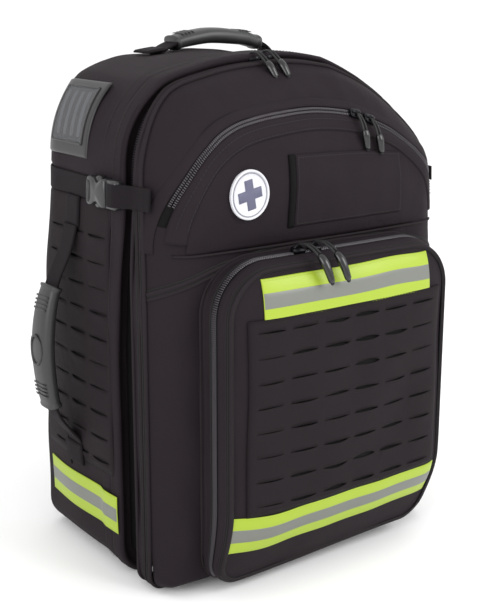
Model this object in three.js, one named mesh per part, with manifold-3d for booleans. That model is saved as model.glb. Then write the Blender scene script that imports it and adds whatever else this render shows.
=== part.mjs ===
// Trauma backpack: clamshell rescue pack, millimetres, +Z up, front face toward -Y.
import * as THREE from "three";
import { mergeVertices } from "three/addons/utils/BufferGeometryUtils.js";
import Module from "manifold-3d";

const wasm = await Module();
wasm.setup();

// ---- driving dimensions -------------------------------------------------
const HALF_WIDTH = 183; // rear compartment, centre plane to side wall
const HEIGHT = 513; // rear compartment, floor to crown
const CROWN_R = 350; // radius of the shallow top arch
const SHOULDER_R = 85; // radius where the arch turns into the sides
const FOOT_R = 30; // radius of the bottom corners
const BACK_Y = 128; // outer face of the back panel
const REAR_FRONT_Y = -34; // front rim of the rear compartment
const ZIP_GAP = 24; // width of the recess the main zipper sits in
const LID_INSET = 3; // how much narrower the lid is, each side
const LID_FACE_Y = -114; // lid's front face, lower part
const WALL = 4; // padded fabric wall
const PALS = 38.1; // column pitch of the laser-cut slots
const ROW = 25.4; // row pitch of the laser-cut slots
const SLOT_LEN = 32;
const SLOT_H = 3;
const CLEAR = 0.3; // gap between neighbouring pieces
const SKIN = 1.5; // laminate and tape thickness
const POCKET_HALF = 144; // lower pocket gusset
const POCKET_TOP = 334;
const POCKET_FACE_Y = -165; // crown of the pocket's face
const COVER_SAG = 9; // how far the cover falls back from its middle to its sides
const COVER_INSET = 9; // pocket cover inside the gusset outline
const SEAM_Z = 338; // seam between upper flap and lower pocket
const ARCH_TOP = 461; // crown of the upper pocket's zipper
const WEB = 25; // webbing width of the handles
const STRAP_BACK_Y = 175; // rearmost face of the shoulder straps
const TAPE_H = 40; // reflective tape
const PATCH_T = 4.5; // stitched anchor patches of the handles

const LID_BACK_Y = REAR_FRONT_Y - ZIP_GAP;
const LID_HALF = HALF_WIDTH - LID_INSET;
const LID_TOP = HEIGHT - 6;
const CROWN_Z = HEIGHT - CROWN_R; // centre height of the top arch

// ---- materials ----------------------------------------------------------
const mat = (hex, roughness, metalness = 0) =>
  new THREE.MeshStandardMaterial({ color: hex, roughness, metalness });
const FABRIC = mat(0x332e31, 0.85);
const LAMINATE = mat(0x2e2a2c, 0.7);
const WEBBING = mat(0x262325, 0.8);
const MESH = mat(0x2a2829, 0.95);
const PLASTIC = mat(0x2c2c2e, 0.4);
const RUBBER = mat(0x3a3a3c, 0.6);
const METAL = mat(0x1c1c1e, 0.35, 0.6);
const CORD = mat(0x18181a, 0.7);
const SHEET = mat(0xd8d8d4, 0.5);
const HIVIS = mat(0xc5e84a, 0.5);
const BADGE = mat(0xe9e9ec, 0.5);
const CLEARFILM = mat(0x8c8c90, 0.2);

// ---- solids -------------------------------------------------------------
function solid(geometry) {
  const g = geometry.clone();
  g.deleteAttribute("normal");
  g.deleteAttribute("uv");
  const m = mergeVertices(g, 1e-3);
  return new wasm.Manifold(
    new wasm.Mesh({
      numProp: 3,
      vertProperties: new Float32Array(m.attributes.position.array),
      triVerts: new Uint32Array(m.index.array),
    }),
  );
}

const shapeOf = (points) => new THREE.Shape(points.map(([a, b]) => new THREE.Vector2(a, b)));

// A shape drawn in X and Z, running from y0 to y1.
function alongY(points, y0, y1) {
  const g = new THREE.ExtrudeGeometry(shapeOf(points), { depth: y1 - y0, bevelEnabled: false });
  return solid(g.rotateX(Math.PI / 2).translate(0, y1, 0));
}

// A shape drawn in Y and Z, running from x0 to x1.
function alongX(points, x0, x1) {
  const g = new THREE.ExtrudeGeometry(shapeOf(points), { depth: x1 - x0, bevelEnabled: false });
  const turn = new THREE.Matrix4().set(0, 0, 1, x0, 1, 0, 0, 0, 0, 1, 0, 0, 0, 0, 0, 1);
  return solid(g.applyMatrix4(turn));
}

// A shape drawn in X and Y, running from z0 to z1.
function alongZ(points, z0, z1) {
  const g = new THREE.ExtrudeGeometry(shapeOf(points), { depth: z1 - z0, bevelEnabled: false });
  return solid(g.translate(0, 0, z0));
}

const box = (x0, x1, y0, y1, z0, z1) =>
  solid(new THREE.BoxGeometry(x1 - x0, y1 - y0, z1 - z0)
    .translate((x0 + x1) / 2, (y0 + y1) / 2, (z0 + z1) / 2));

const mirror = (s) => s.mirror([1, 0, 0]);
const sideOf = (s, side) => (side < 0 ? s : mirror(s));

// Points of an arc, angles in degrees.
function arc(cx, cz, r, from, to, steps) {
  return Array.from({ length: steps + 1 }, (_, i) => {
    const a = ((from + ((to - from) * i) / steps) * Math.PI) / 180;
    return [cx + r * Math.cos(a), cz + r * Math.sin(a)];
  });
}

// Arched outline in X and Z: straight sides, round shoulders, shallow crown.
function archOutline(half, top, crown, shoulder, bottom = 0, foot = FOOT_R, steps = 6) {
  const sideX = half - shoulder;
  const crownZ = top - crown;
  const shoulderZ = crownZ + Math.sqrt((crown - shoulder) ** 2 - sideX ** 2);
  const meet = (Math.atan2(shoulderZ - crownZ, sideX) * 180) / Math.PI;
  const right = [
    ...arc(half - foot, bottom + foot, foot, -90, 0, 4),
    ...arc(sideX, shoulderZ, shoulder, 0, meet, steps),
    ...arc(0, crownZ, crown, meet, 90, steps).slice(1),
  ];
  const left = right.slice(0, -1).reverse().map(([x, z]) => [-x, z]);
  return [...right, ...left];
}

// Rounded rectangle from (x0, z0) to (x1, z1), top radius then bottom radius.
function roundRect(x0, x1, z0, z1, rt, rb, steps = 5) {
  return [
    ...arc(x1 - rb, z0 + rb, rb, -90, 0, steps),
    ...arc(x1 - rt, z1 - rt, rt, 0, 90, steps),
    ...arc(x0 + rt, z1 - rt, rt, 90, 180, steps),
    ...arc(x0 + rb, z0 + rb, rb, 180, 270, steps),
  ];
}

// Strip of constant thickness along a polyline, closed into one outline.
function ribbon(line, t) {
  const off = line.map((p, i) => {
    const a = line[Math.max(i - 1, 0)];
    const b = line[Math.min(i + 1, line.length - 1)];
    const l = Math.hypot(b[0] - a[0], b[1] - a[1]);
    return [(-(b[1] - a[1]) / l) * t / 2, ((b[0] - a[0]) / l) * t / 2];
  });
  return [
    ...line.map((p, i) => [p[0] - off[i][0], p[1] - off[i][1]]),
    ...line.map((p, i) => [p[0] + off[i][0], p[1] + off[i][1]]).reverse(),
  ];
}

// Rear compartment grown outward by d.
function rearBody(d) {
  const rim = BACK_Y + d;
  const edge = 14 + d;
  const back = [
    [REAR_FRONT_Y, -d], ...arc(rim - edge, edge - d, edge, -90, 0, 4),
    ...arc(rim - edge, HEIGHT + d - edge, edge, 0, 90, 4), [REAR_FRONT_Y, HEIGHT + d],
  ];
  const outline = archOutline(HALF_WIDTH + d, HEIGHT + d, CROWN_R + d, SHOULDER_R + d, -d, FOOT_R + d);
  return alongY(outline, REAR_FRONT_Y, rim).intersect(alongX(back, -300, 300));
}

// Lid grown outward by d: arched outline, leaning top, rounded front corners.
function lidBody(d) {
  const face = LID_FACE_Y - d;
  const profile = [
    [LID_BACK_Y, 2 - d], [face + 12, 2 - d], [face + 2, 14], [face, 60], [face, 330],
    [face - 4, 360], [face - 4, 400], [face + 1, 432], [face + 12, 458], [face + 26, 480],
    [face + 42, 496 + d], [LID_BACK_Y, LID_TOP + d],
  ].reverse();
  const w = LID_HALF + d;
  const corner = [[w, LID_BACK_Y], [w, -80 - d], [w - 6, -92 - d], [w - 18, -101 - d], [w - 40, -109 - d]];
  const plan = [...corner, [0, -122 - d], ...corner.map(([x, y]) => [-x, y]).reverse()].reverse();
  const outline = archOutline(w, LID_TOP + d, CROWN_R + d, SHOULDER_R + d, 2 - d, FOOT_R + d);
  return alongY(outline, -140, LID_BACK_Y).intersect(alongX(profile, -300, 300))
    .intersect(alongZ(plan, -20, 600));
}

// Lower pocket's cover grown outward by d: bulging face with a bevelled foot.
function coverBody(d) {
  const half = POCKET_HALF - COVER_INSET + d;
  const top = POCKET_TOP - 6 + d;
  const face = POCKET_FACE_Y - d;
  const profile = [
    [-146 + 0, 11 - d], [-150 - d, 11 - d], [face + 5, 52], [face, 92], [face, 285],
    [face + 3, 318], [face + 12, top], [-146, top],
  ].reverse();
  const sag = (x) => face + (COVER_SAG * x * x) / (half * half);
  const xs = [-1, -0.75, -0.5, -0.25, 0, 0.25, 0.5, 0.75, 1];
  const plan = [[half, -146], [half, sag(half) + 1], ...xs.slice(1, -1).reverse().map((k) => [k * half, sag(k * half)]),
    [-half, sag(half) + 1], [-half, -146]].reverse();
  return alongY(roundRect(-half, half, 11 - d, top, 42 + d, 24 + d), -190, -146)
    .intersect(alongX(profile, -300, 300)).intersect(alongZ(plan, -20, 400));
}

const pieces = [];
function add(name, body, material) {
  const m = body.getMesh();
  const g = new THREE.BufferGeometry();
  g.setAttribute("position", new THREE.BufferAttribute(new Float32Array(m.vertProperties), 3));
  g.setIndex(new THREE.BufferAttribute(new Uint32Array(m.triVerts), 1));
  const flat = g.toNonIndexed();
  flat.computeVertexNormals();
  const mesh = new THREE.Mesh(flat, material);
  mesh.name = name;
  pieces.push(mesh);
}
const both = (name, body, material) => {
  add(`${name}_left`, body, material);
  add(`${name}_right`, mirror(body), material);
};

// ---- rear compartment ---------------------------------------------------
const rearHollow = alongY(
  archOutline(HALF_WIDTH - WALL, HEIGHT - WALL, CROWN_R - WALL, SHOULDER_R - WALL, WALL, FOOT_R - WALL),
  REAR_FRONT_Y - 1, BACK_Y - WALL,
);
// Stitched anchor patches that carry the top handle.
const TOP_HANDLE_Y = 82;
const PATCH_HALF = WEB / 2 + 1.5; // patches reach past the webbing's edges
const topPatch = rearBody(PATCH_T).subtract(rearBody(-1))
  .intersect(box(93, 116, TOP_HANDLE_Y - PATCH_HALF, TOP_HANDLE_Y + PATCH_HALF, HEIGHT - 113, HEIGHT + 27));
add("rear_shell", rearBody(0).subtract(rearHollow).add(topPatch).add(mirror(topPatch)), FABRIC);
const SHEET_FRONT = BACK_Y - WALL - CLEAR - 2;
add("frame_sheet", alongY(roundRect(-140, 140, 24, 440, 60, 20), SHEET_FRONT, SHEET_FRONT + 2), SHEET);
const shelfHalf = HALF_WIDTH - WALL - CLEAR;
add("divider_shelf", box(-shelfHalf, shelfHalf, REAR_FRONT_Y + 6, SHEET_FRONT - CLEAR, 236, 242), FABRIC);

// ---- back panel and harness --------------------------------------------
const PAD_Y = BACK_Y + CLEAR;
const PAD_T = 16;
const padL = alongY(roundRect(-118, -18, 158, 426, 34, 20), PAD_Y, PAD_Y + PAD_T);
both("back_pad", padL, MESH);
add("lumbar_pad", alongY(roundRect(-78, 78, 44, 132, 24, 24), PAD_Y, PAD_Y + PAD_T), MESH);

const strapIn = PAD_Y + PAD_T + CLEAR;
const strapLine = [
  [PAD_Y, 452], [PAD_Y, 472], [146, 470], [STRAP_BACK_Y - 2, 440], [STRAP_BACK_Y, 400],
  [STRAP_BACK_Y, 200], [STRAP_BACK_Y - 4, 172], [STRAP_BACK_Y - 20, 172], [strapIn, 200], [strapIn, 430],
  [143, 447], [138, 452],
].reverse();
const SPLAY = 22; // how far the straps spread toward their lower ends
const splay = (v) => { v[0] -= (SPLAY * Math.min(Math.max(440 - v[2], 0), 240)) / 240; };
both("shoulder_strap", alongX(strapLine, -104, -36).warp(splay), FABRIC);
const lowerX = -70 - SPLAY;
const WING_TOP = 118; // waist wings end here, lower straps start above them
const anchorZ = WING_TOP + 5;
const lowerStrap = alongX([
  [PAD_Y, anchorZ], [136, anchorZ], [166, 146], [166, 170], [156, 170], [156, 152], [134, anchorZ + 14],
  [PAD_Y, anchorZ + 14],
], lowerX - 11, lowerX + 11);
const ladderEye = box(lowerX - 14, lowerX + 14, 152, 170, 142, 172 - CLEAR)
  .subtract(box(lowerX - 8, lowerX + 8, 140, 180, 151, 156));
both("lower_strap", lowerStrap.add(ladderEye), PLASTIC);
const sternum = box(-39, -14, 160, 162.4, 318, 338).add(box(-14.5, -2, 157, 165, 316, 340));
both("sternum_half", sternum, PLASTIC);
const wing = alongZ(
  [[-160, PAD_Y], [-160, 152], [-150, 162], [-46, 162], [-46, 150], [-140, 150], [-142, PAD_Y]], 54, WING_TOP,
).add(box(-46.5, -8, 153, 159, 74, 98));
both("waist_wing", wing, FABRIC);

// ---- slotted side panels, tapes, side handles, side buckles -------------
const sideX = HALF_WIDTH + CLEAR;
let sidePanel = box(-sideX - SKIN, -sideX, -28, 110, 104, 366);
for (let col = 0; col < 3; col++)
  for (let row = 0; row < 10; row++) {
    const y = 9 + col * PALS;
    const z = 346 - row * ROW;
    sidePanel = sidePanel.subtract(box(-sideX - 3, -sideX + 1, y - SLOT_LEN, y, z - SLOT_H / 2, z + SLOT_H / 2));
  }
// Stitched anchor patches that carry the side handle.
const HANDLE_Y = 40;
const [LOW_PATCH, HIGH_PATCH] = [96, 350];
for (const z of [LOW_PATCH, HIGH_PATCH])
  sidePanel = sidePanel.add(box(-sideX - PATCH_T, -sideX - SKIN / 2, HANDLE_Y - PATCH_HALF, HANDLE_Y + PATCH_HALF, z + 8, z + 26));
both("side_slot_panel", sidePanel, LAMINATE);
both("side_tape", box(-sideX - SKIN, -sideX, -30, 108, 46, 46 + TAPE_H), HIVIS);

const skinX = sideX + SKIN + CLEAR;
const bow = [
  [-skinX - 7, LOW_PATCH + 28], [-skinX - 20, 142], [-skinX - 32, 162], [-skinX - 38, 192], [-skinX - 40, 228],
  [-skinX - 38, 266], [-skinX - 31, 296], [-skinX - 18, 322], [-skinX - 7, HIGH_PATCH - 2],
];
const bowWeb = alongY(ribbon(bow, 2.6), HANDLE_Y - WEB / 2, HANDLE_Y + WEB / 2);
const bowSlot = alongY(ribbon(bow, 3.4), HANDLE_Y - WEB / 2 - 0.4, HANDLE_Y + WEB / 2 + 0.4);
const bowGripHalf = WEB / 2 + 4.5;
const bowGrip = alongY(ribbon(bow.slice(2, 7), 17), HANDLE_Y - bowGripHalf, HANDLE_Y + bowGripHalf).subtract(bowSlot);
both("side_handle_webbing", bowWeb, WEBBING);
both("side_handle_grip", bowGrip, RUBBER);

const BUCKLE_Z = 389;
const bz0 = BUCKLE_Z - 13;
const bz1 = BUCKLE_Z + 13;
const femaleHollow = box(-sideX - 10.5, -sideX - 2.5, -9, 18, bz0 + 3, bz1 - 3);
add("side_strap_rear_left", box(-sideX - 2.4, -sideX, 26 + CLEAR, 112, BUCKLE_Z - 10, BUCKLE_Z + 10), WEBBING);
add("side_strap_rear_right", mirror(box(-sideX - 2.4, -sideX, 26 + CLEAR, 112, BUCKLE_Z - 10, BUCKLE_Z + 10)), WEBBING);
both("side_buckle_female", box(-sideX - 13, -sideX, -8, 26, bz0, bz1).subtract(femaleHollow), PLASTIC);
const male = box(-sideX - 12, -sideX - 1, -38, -8 - CLEAR, bz0 + 1, bz1 - 1)
  .add(box(-sideX - 9.5, -sideX - 3.5, -12, 14, bz0 + 4, bz0 + 9))
  .add(box(-sideX - 9.5, -sideX - 3.5, -12, 14, bz1 - 9, bz1 - 4));
both("side_buckle_male", male, PLASTIC);
const lidX = LID_HALF + CLEAR;
const lidStrap = alongZ([
  [-lidX, -76], [-lidX, LID_BACK_Y + 4], [-sideX - 2, -46], [-sideX - 4, -38 - CLEAR], [-sideX - 7, -38 - CLEAR],
  [-sideX - 5, -50], [-lidX - 2.4, LID_BACK_Y], [-lidX - 2.4, -76],
], BUCKLE_Z - 10, BUCKLE_Z + 10);
both("side_strap_lid", lidStrap, WEBBING);

// ---- name-card window ---------------------------------------------------
const cardZone = box(-220, -120, 14, 96, HEIGHT - 89, HEIGHT - 31);
const cardHole = box(-220, -120, 28, 82, HEIGHT - 79, HEIGHT - 40);
const cardSlab = rearBody(3).subtract(rearBody(CLEAR)).intersect(cardZone);
add("card_frame", cardSlab.subtract(cardHole), FABRIC);
add("card_window", rearBody(1.4).subtract(rearBody(CLEAR))
  .intersect(box(-220, -120, 28 + CLEAR, 82 - CLEAR, HEIGHT - 79 + CLEAR, HEIGHT - 40 - CLEAR)), CLEARFILM);

// ---- top handle ---------------------------------------------------------
const onCrown = (x, lift) => [x, CROWN_Z + Math.sqrt((CROWN_R + lift) ** 2 - x * x)];
const topLine = [
  onCrown(-90, 7), onCrown(-76, 12), [-60, HEIGHT + 9], [-40, HEIGHT + 13], [-20, HEIGHT + 14.6], [0, HEIGHT + 15],
];
const topBow = [...topLine, ...topLine.slice(0, -1).reverse().map(([x, z]) => [-x, z])];
const topWeb = alongY(ribbon(topBow, 2.6), TOP_HANDLE_Y - WEB / 2, TOP_HANDLE_Y + WEB / 2);
const topSlot = alongY(ribbon(topBow, 3.4), TOP_HANDLE_Y - WEB / 2 - 0.4, TOP_HANDLE_Y + WEB / 2 + 0.4);
const topGripHalf = WEB / 2 + 2.5;
const topGrip = alongY(ribbon(topBow.slice(2, 9), 14), TOP_HANDLE_Y - topGripHalf, TOP_HANDLE_Y + topGripHalf).subtract(topSlot);
add("top_handle_webbing", topWeb, WEBBING);
add("top_handle_grip", topGrip, RUBBER);

// ---- main zipper --------------------------------------------------------
const ZIP_INSET = 9;
const ringOutline = (inset) => archOutline(
  LID_HALF - inset, LID_TOP - inset, CROWN_R - inset, SHOULDER_R - inset, 3 + inset, FOOT_R - inset / 2);
const ring = (y0, y1) => alongY(ringOutline(ZIP_INSET), y0, y1)
  .subtract(alongY(ringOutline(ZIP_INSET + 3), y0 - 1, y1 + 1));
const ZIP_MID = REAR_FRONT_Y - ZIP_GAP / 2;
add("main_zip_rear", ring(ZIP_MID + CLEAR, REAR_FRONT_Y - CLEAR), WEBBING);
add("main_zip_lid", ring(LID_BACK_Y + CLEAR, ZIP_MID - CLEAR), WEBBING);

// ---- lid ----------------------------------------------------------------
// The upper pocket's arched opening grown outward by d, from y0 to y1.
const flapZone = (d, y0, y1) => alongY(archOutline(164 + d, ARCH_TOP - 6 + d, 344 + d, 106 + d, 200, 4), y0, y1)
  .intersect(box(-300, 300, y0 - 1, y1 + 1, SEAM_Z - d, 600));
const lidHollow = lidBody(-WALL).add(alongY(
  archOutline(LID_HALF - WALL, LID_TOP - WALL, CROWN_R - WALL, SHOULDER_R - WALL, 2 + WALL, FOOT_R - WALL),
  LID_BACK_Y - 6, LID_BACK_Y + 1));
const flapWindow = flapZone(-14, -160, LID_FACE_Y + 26);
add("lid_shell", lidBody(0).subtract(lidHollow).subtract(flapWindow), FABRIC);
const front = box(-300, 300, -160, -94, 0, 600);
add("upper_flap", lidBody(3).subtract(lidBody(CLEAR)).intersect(flapZone(0, -160, -70)).intersect(front), FABRIC);
const pouch = flapZone(-18, -104, -72).subtract(flapZone(-20.5, -105, -74.5));
add("upper_pouch", pouch, FABRIC);
const tapeArch = flapZone(11.4, -160, -80).subtract(flapZone(0.6, -161, -79))
  .intersect(box(-300, 300, -160, -84, 352, 600));
add("arch_zip_tape", lidBody(2).subtract(lidBody(CLEAR)).intersect(tapeArch), WEBBING);
const onFlap = (outline, t) => lidBody(3 + CLEAR + t).subtract(lidBody(3 + CLEAR)).intersect(alongY(outline, -160, -95));
add("loop_panel", onFlap(roundRect(-42, 104, 356, 424, 3, 3, 2), 2), LAMINATE);
add("badge", onFlap(arc(-90, 391, 22.5, 0, 345, 23), 3.2), BADGE);

// ---- lower pocket -------------------------------------------------------
const gussetOut = roundRect(-POCKET_HALF, POCKET_HALF, 9, POCKET_TOP, 52, 28);
const gussetIn = roundRect(-POCKET_HALF + 3, POCKET_HALF - 3, 12, POCKET_TOP - 3, 49, 25);
add("pocket_gusset", alongY(gussetOut, -140, -70).subtract(alongY(gussetIn, -141, -60))
  .subtract(lidBody(CLEAR)).intersect(box(-300, 300, -140, LID_FACE_Y + 22, 0, 400)), FABRIC);
const zipOut = roundRect(-POCKET_HALF + 3.4, POCKET_HALF - 3.4, 12.4, POCKET_TOP - 3.4, 48.6, 24.6);
const zipIn = roundRect(-POCKET_HALF + 6, POCKET_HALF - 6, 15, POCKET_TOP - 6, 46, 22);
add("pocket_zip_tape", alongY(zipOut, -145.7, -130).subtract(alongY(zipIn, -147, -129))
  .intersect(box(-300, 300, -150, -120, 40, 400)), WEBBING);
const coverHollow = coverBody(-3).add(alongY(
  roundRect(-POCKET_HALF + COVER_INSET + 3, POCKET_HALF - COVER_INSET - 3, 14, POCKET_TOP - 9, 39, 21), -147, -145));
add("pocket_cover", coverBody(0).subtract(coverHollow), FABRIC);

const onCover = (d, outline) => coverBody(CLEAR + d).subtract(coverBody(CLEAR)).intersect(alongY(outline, -190, -151));
let slotPanel = onCover(SKIN, roundRect(-126, 126, 92, 276, 2, 2, 1));
for (let col = 0; col < 6; col++)
  for (let row = 0; row < 8; row++) {
    const x = (col - 2.5) * PALS;
    const z = 267.5 - row * ROW;
    if (z - SLOT_H > 92)
      slotPanel = slotPanel.subtract(box(x - SLOT_LEN / 2, x + SLOT_LEN / 2, -190, -140, z - SLOT_H / 2, z + SLOT_H / 2));
  }
add("front_slot_panel", slotPanel, LAMINATE);
add("front_tape_top", onCover(1.2, roundRect(-104, 104, 281, 281 + TAPE_H, 1, 1, 1)), HIVIS);
add("front_tape_low", onCover(1.2, roundRect(-124, 124, 49, 49 + TAPE_H, 1, 1, 1)), HIVIS);

// ---- sliders and their pulls -------------------------------------------
// A pull hangs from (x, y, z): thin stem, thick grip, leaning out and to the right.
function pull(x, y, z, length, out, right) {
  const stem = new THREE.CylinderGeometry(1.6, 1.6, length - 14, 8).translate(0, -(length - 14) / 2, 0);
  const grip = new THREE.CylinderGeometry(3.4, 3.4, 16, 8).translate(0, 8 - length, 0);
  return solid(stem).add(solid(grip)).rotate([90, 0, 0]).rotate([-out, 0, 0]).rotate([0, -right, 0])
    .translate([x, y, z]);
}

const PULL = 52; // pull length
const onTape = (x, r, cz) => cz + Math.sqrt(r * r - x * x);
const MAIN_R = CROWN_R - ZIP_INSET;
for (const [side, x] of [["left", -24], ["right", -8]]) {
  const z = onTape(x, MAIN_R, LID_TOP - CROWN_R) + 1.2;
  add(`main_slider_${side}`, box(x - 5, x + 5, ZIP_MID - 6, ZIP_MID + 6, z, z + 13), METAL);
  add(`main_pull_${side}`, pull(x, ZIP_MID - 7.7, z + 15, PULL, 76, 8), CORD);
}
const ARCH_R = 350;
for (const [side, x] of [["left", 50], ["right", 68]]) {
  const z = onTape(x, ARCH_R, ARCH_TOP - ARCH_R) - 1;
  const y = LID_FACE_Y + 3.2;
  add(`arch_slider_${side}`, box(x - 5, x + 5, y - 6.5, y - 2, z - 6, z + 6), METAL);
  add(`arch_pull_${side}`, pull(x, y - 8.5, z - 5, PULL, 12, 14), CORD);
}
for (const [side, x] of [["left", -42], ["right", -22]]) {
  const z = POCKET_TOP - 5.6;
  add(`pocket_slider_${side}`, box(x - 5, x + 5, -160, -146, z, z + 9), METAL);
  add(`pocket_pull_${side}`, pull(x, -164.4, z + 6, PULL, 8, 14), CORD);
}

const group = new THREE.Group();
group.name = "trauma_backpack";
group.add(...pieces);
export default group;
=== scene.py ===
import math
import bmesh
import bpy
import numpy as np
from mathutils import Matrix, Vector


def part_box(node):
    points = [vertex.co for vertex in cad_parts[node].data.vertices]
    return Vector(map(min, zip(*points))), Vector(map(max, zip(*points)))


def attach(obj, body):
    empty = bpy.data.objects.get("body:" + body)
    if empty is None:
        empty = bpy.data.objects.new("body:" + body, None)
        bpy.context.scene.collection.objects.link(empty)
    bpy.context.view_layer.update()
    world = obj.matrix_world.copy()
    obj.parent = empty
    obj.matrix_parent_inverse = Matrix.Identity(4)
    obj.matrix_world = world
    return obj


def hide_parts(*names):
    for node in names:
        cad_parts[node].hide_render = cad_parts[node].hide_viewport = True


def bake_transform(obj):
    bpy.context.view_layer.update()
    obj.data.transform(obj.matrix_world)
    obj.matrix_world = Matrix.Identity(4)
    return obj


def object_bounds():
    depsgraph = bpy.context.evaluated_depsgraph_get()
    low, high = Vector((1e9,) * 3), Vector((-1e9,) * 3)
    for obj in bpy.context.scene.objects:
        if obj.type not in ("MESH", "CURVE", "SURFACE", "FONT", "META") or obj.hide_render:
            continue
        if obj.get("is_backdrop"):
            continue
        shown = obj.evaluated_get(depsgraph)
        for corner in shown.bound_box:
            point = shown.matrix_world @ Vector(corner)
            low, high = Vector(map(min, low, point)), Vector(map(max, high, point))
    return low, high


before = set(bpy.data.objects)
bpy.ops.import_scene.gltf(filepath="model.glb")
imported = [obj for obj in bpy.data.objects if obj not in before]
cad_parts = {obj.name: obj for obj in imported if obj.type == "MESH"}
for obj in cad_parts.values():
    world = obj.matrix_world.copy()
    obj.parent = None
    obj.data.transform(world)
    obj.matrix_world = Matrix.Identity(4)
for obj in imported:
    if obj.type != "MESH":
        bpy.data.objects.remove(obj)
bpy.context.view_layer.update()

# ---- Studio ---------------------------------------------------------------
# A white paper sweep under a large soft lamp high on the right, a weaker fill
# on the left and an even pale room, with the camera just above the pack's top.
scene = bpy.context.scene
scene.view_settings.view_transform = "Standard"
AZIMUTH, TILT = 35.87, 14.97  # degrees round to the left, degrees down
camera = bpy.data.objects.new("camera", bpy.data.cameras.new("camera"))
camera.location = (-0.7337, -0.9989, 0.5791)
camera.rotation_euler = (math.radians(90 - TILT), 0, math.radians(-AZIMUTH))
camera.data.lens = 70.8
scene.collection.objects.link(camera)
scene.camera = camera


def linear(hex_colour):
    """sRGB hex to linear colour, by the sRGB transfer curve."""
    parts = [int(hex_colour[i:i + 2], 16) / 255 for i in (1, 3, 5)]
    return (*[v / 12.92 if v <= 0.04045 else ((v + 0.055) / 1.055) ** 2.4 for v in parts], 1)


def node(tree, kind, settings=None, **links):
    """Adds one shader node, sets its settings and sockets, and links sockets given as (node, output)."""
    n = tree.nodes.new(kind)
    for key, value in (settings or {}).items():
        setattr(n, key, value)
    for key, value in links.items():
        by_number = key[0] == "i" and key[1:].isdigit()
        slot = n.inputs[int(key[1:])] if by_number else n.inputs[key.replace("_", " ")]
        if isinstance(value, tuple) and isinstance(value[0], bpy.types.Node):
            tree.links.new(value[0].outputs[value[1]], slot)
        else:
            slot.default_value = value
    return n


def material(name, **surface):
    """A new material whose only shader is a Principled BSDF with these values; returns it, its tree and
    shader."""
    m = bpy.data.materials.new(name)
    m.use_nodes = True
    tree = m.node_tree
    tree.nodes.clear()
    shader = node(tree, "ShaderNodeBsdfPrincipled", None, **surface)
    node(tree, "ShaderNodeOutputMaterial", None, Surface=(shader, 0))
    return m, tree, shader


for name, place, size, power, aim in (
        ("key", (1.3, -2.1, 1.7), 1.6, 44, (0, 0, 0.3)),
        ("fill", (-2.4, -1.1, 1.3), 1.5, 26, (0, 0, 0.25)),
        ("top", (-0.3, 0.5, 2.6), 2.0, 4, (0, 0, 0.2))):
    lamp = bpy.data.objects.new(name, bpy.data.lights.new(name, "AREA"))
    lamp.data.size, lamp.data.energy = size, power
    lamp.location = place
    away = np.array(place) - np.array(aim)
    lamp.rotation_euler = (math.atan2(math.hypot(away[0], away[1]), away[2]), 0,
                           math.atan2(away[1], away[0]) + math.pi / 2)
    scene.collection.objects.link(lamp)
world = bpy.data.worlds.new("pale room")
world.use_nodes = True
world.node_tree.nodes["Background"].inputs[0].default_value = (1, 1, 1, 1)
world.node_tree.nodes["Background"].inputs[1].default_value = 1.05
scene.world = world

floor_mesh = bpy.data.meshes.new("floor")
floor_mesh.from_pydata([(-6, -6, 0), (6, -6, 0), (6, 6, 0), (-6, 6, 0)], [], [(0, 1, 2, 3)])
floor = bpy.data.objects.new("floor", floor_mesh)
floor_mesh.materials.append(material("paper sweep", Base_Color=linear("#fdfdfd"), Roughness=0.9)[0])
scene.collection.objects.link(floor)
floor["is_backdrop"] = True

# ---- Rear compartment -----------------------------------------------------
# A tub of foam-padded nylon pack cloth, sewn from a long gusset that runs round
# the arch and a flat back, open toward the lid. The cloth is slack between seams.
MM = 0.001
(rear_lo, rear_hi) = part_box("rear_shell")
HALF, TOP = rear_hi.x, 0.513
RIM_Y, BACK_Y = rear_lo.y, rear_hi.y
CROWN, SHOULDER, FOOT = 0.350, 0.085, 0.030


def ease(x, a, b):
    """Smooth step from 0 at a to 1 at b."""
    k = np.clip((x - a) / (b - a), 0, 1)
    return k * k * (3 - 2 * k)


def settle(P):
    """How the filled pack stands: its sides draw in above mid height, its left shoulder stands up, its
    right shoulder drops, its foot curls up and in at the front right, and the pocket's foot slopes back
    toward the lid."""
    x, z = P[..., 0], P[..., 2]
    lift = np.interp(x, [-0.19, -0.144, -0.105, -0.042, 0, 0.05, 0.10, 0.14, 0.19],
                     [0.010, 0.011, 0.006, 0.001, 0, -0.003, -0.013, -0.024, -0.028])
    low = 1 - ease(z, 0, 0.12)
    foot = 0.007 * low * ease(x, -0.12, 0.12) * ease(-P[..., 1], 0.09, 0.15)
    x = x * (1 - 0.026 * ease(z, 0.30, 0.42)) - 0.009 * low * ease(x, 0.08, 0.18)
    back = 0.75 * np.maximum(-0.112 - P[..., 1], 0) * (1 - ease(z, -0.03, 0.10))
    return np.stack([x, P[..., 1] + back, z + lift * ease(z, 0.36, 0.48) + foot], -1)


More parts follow.
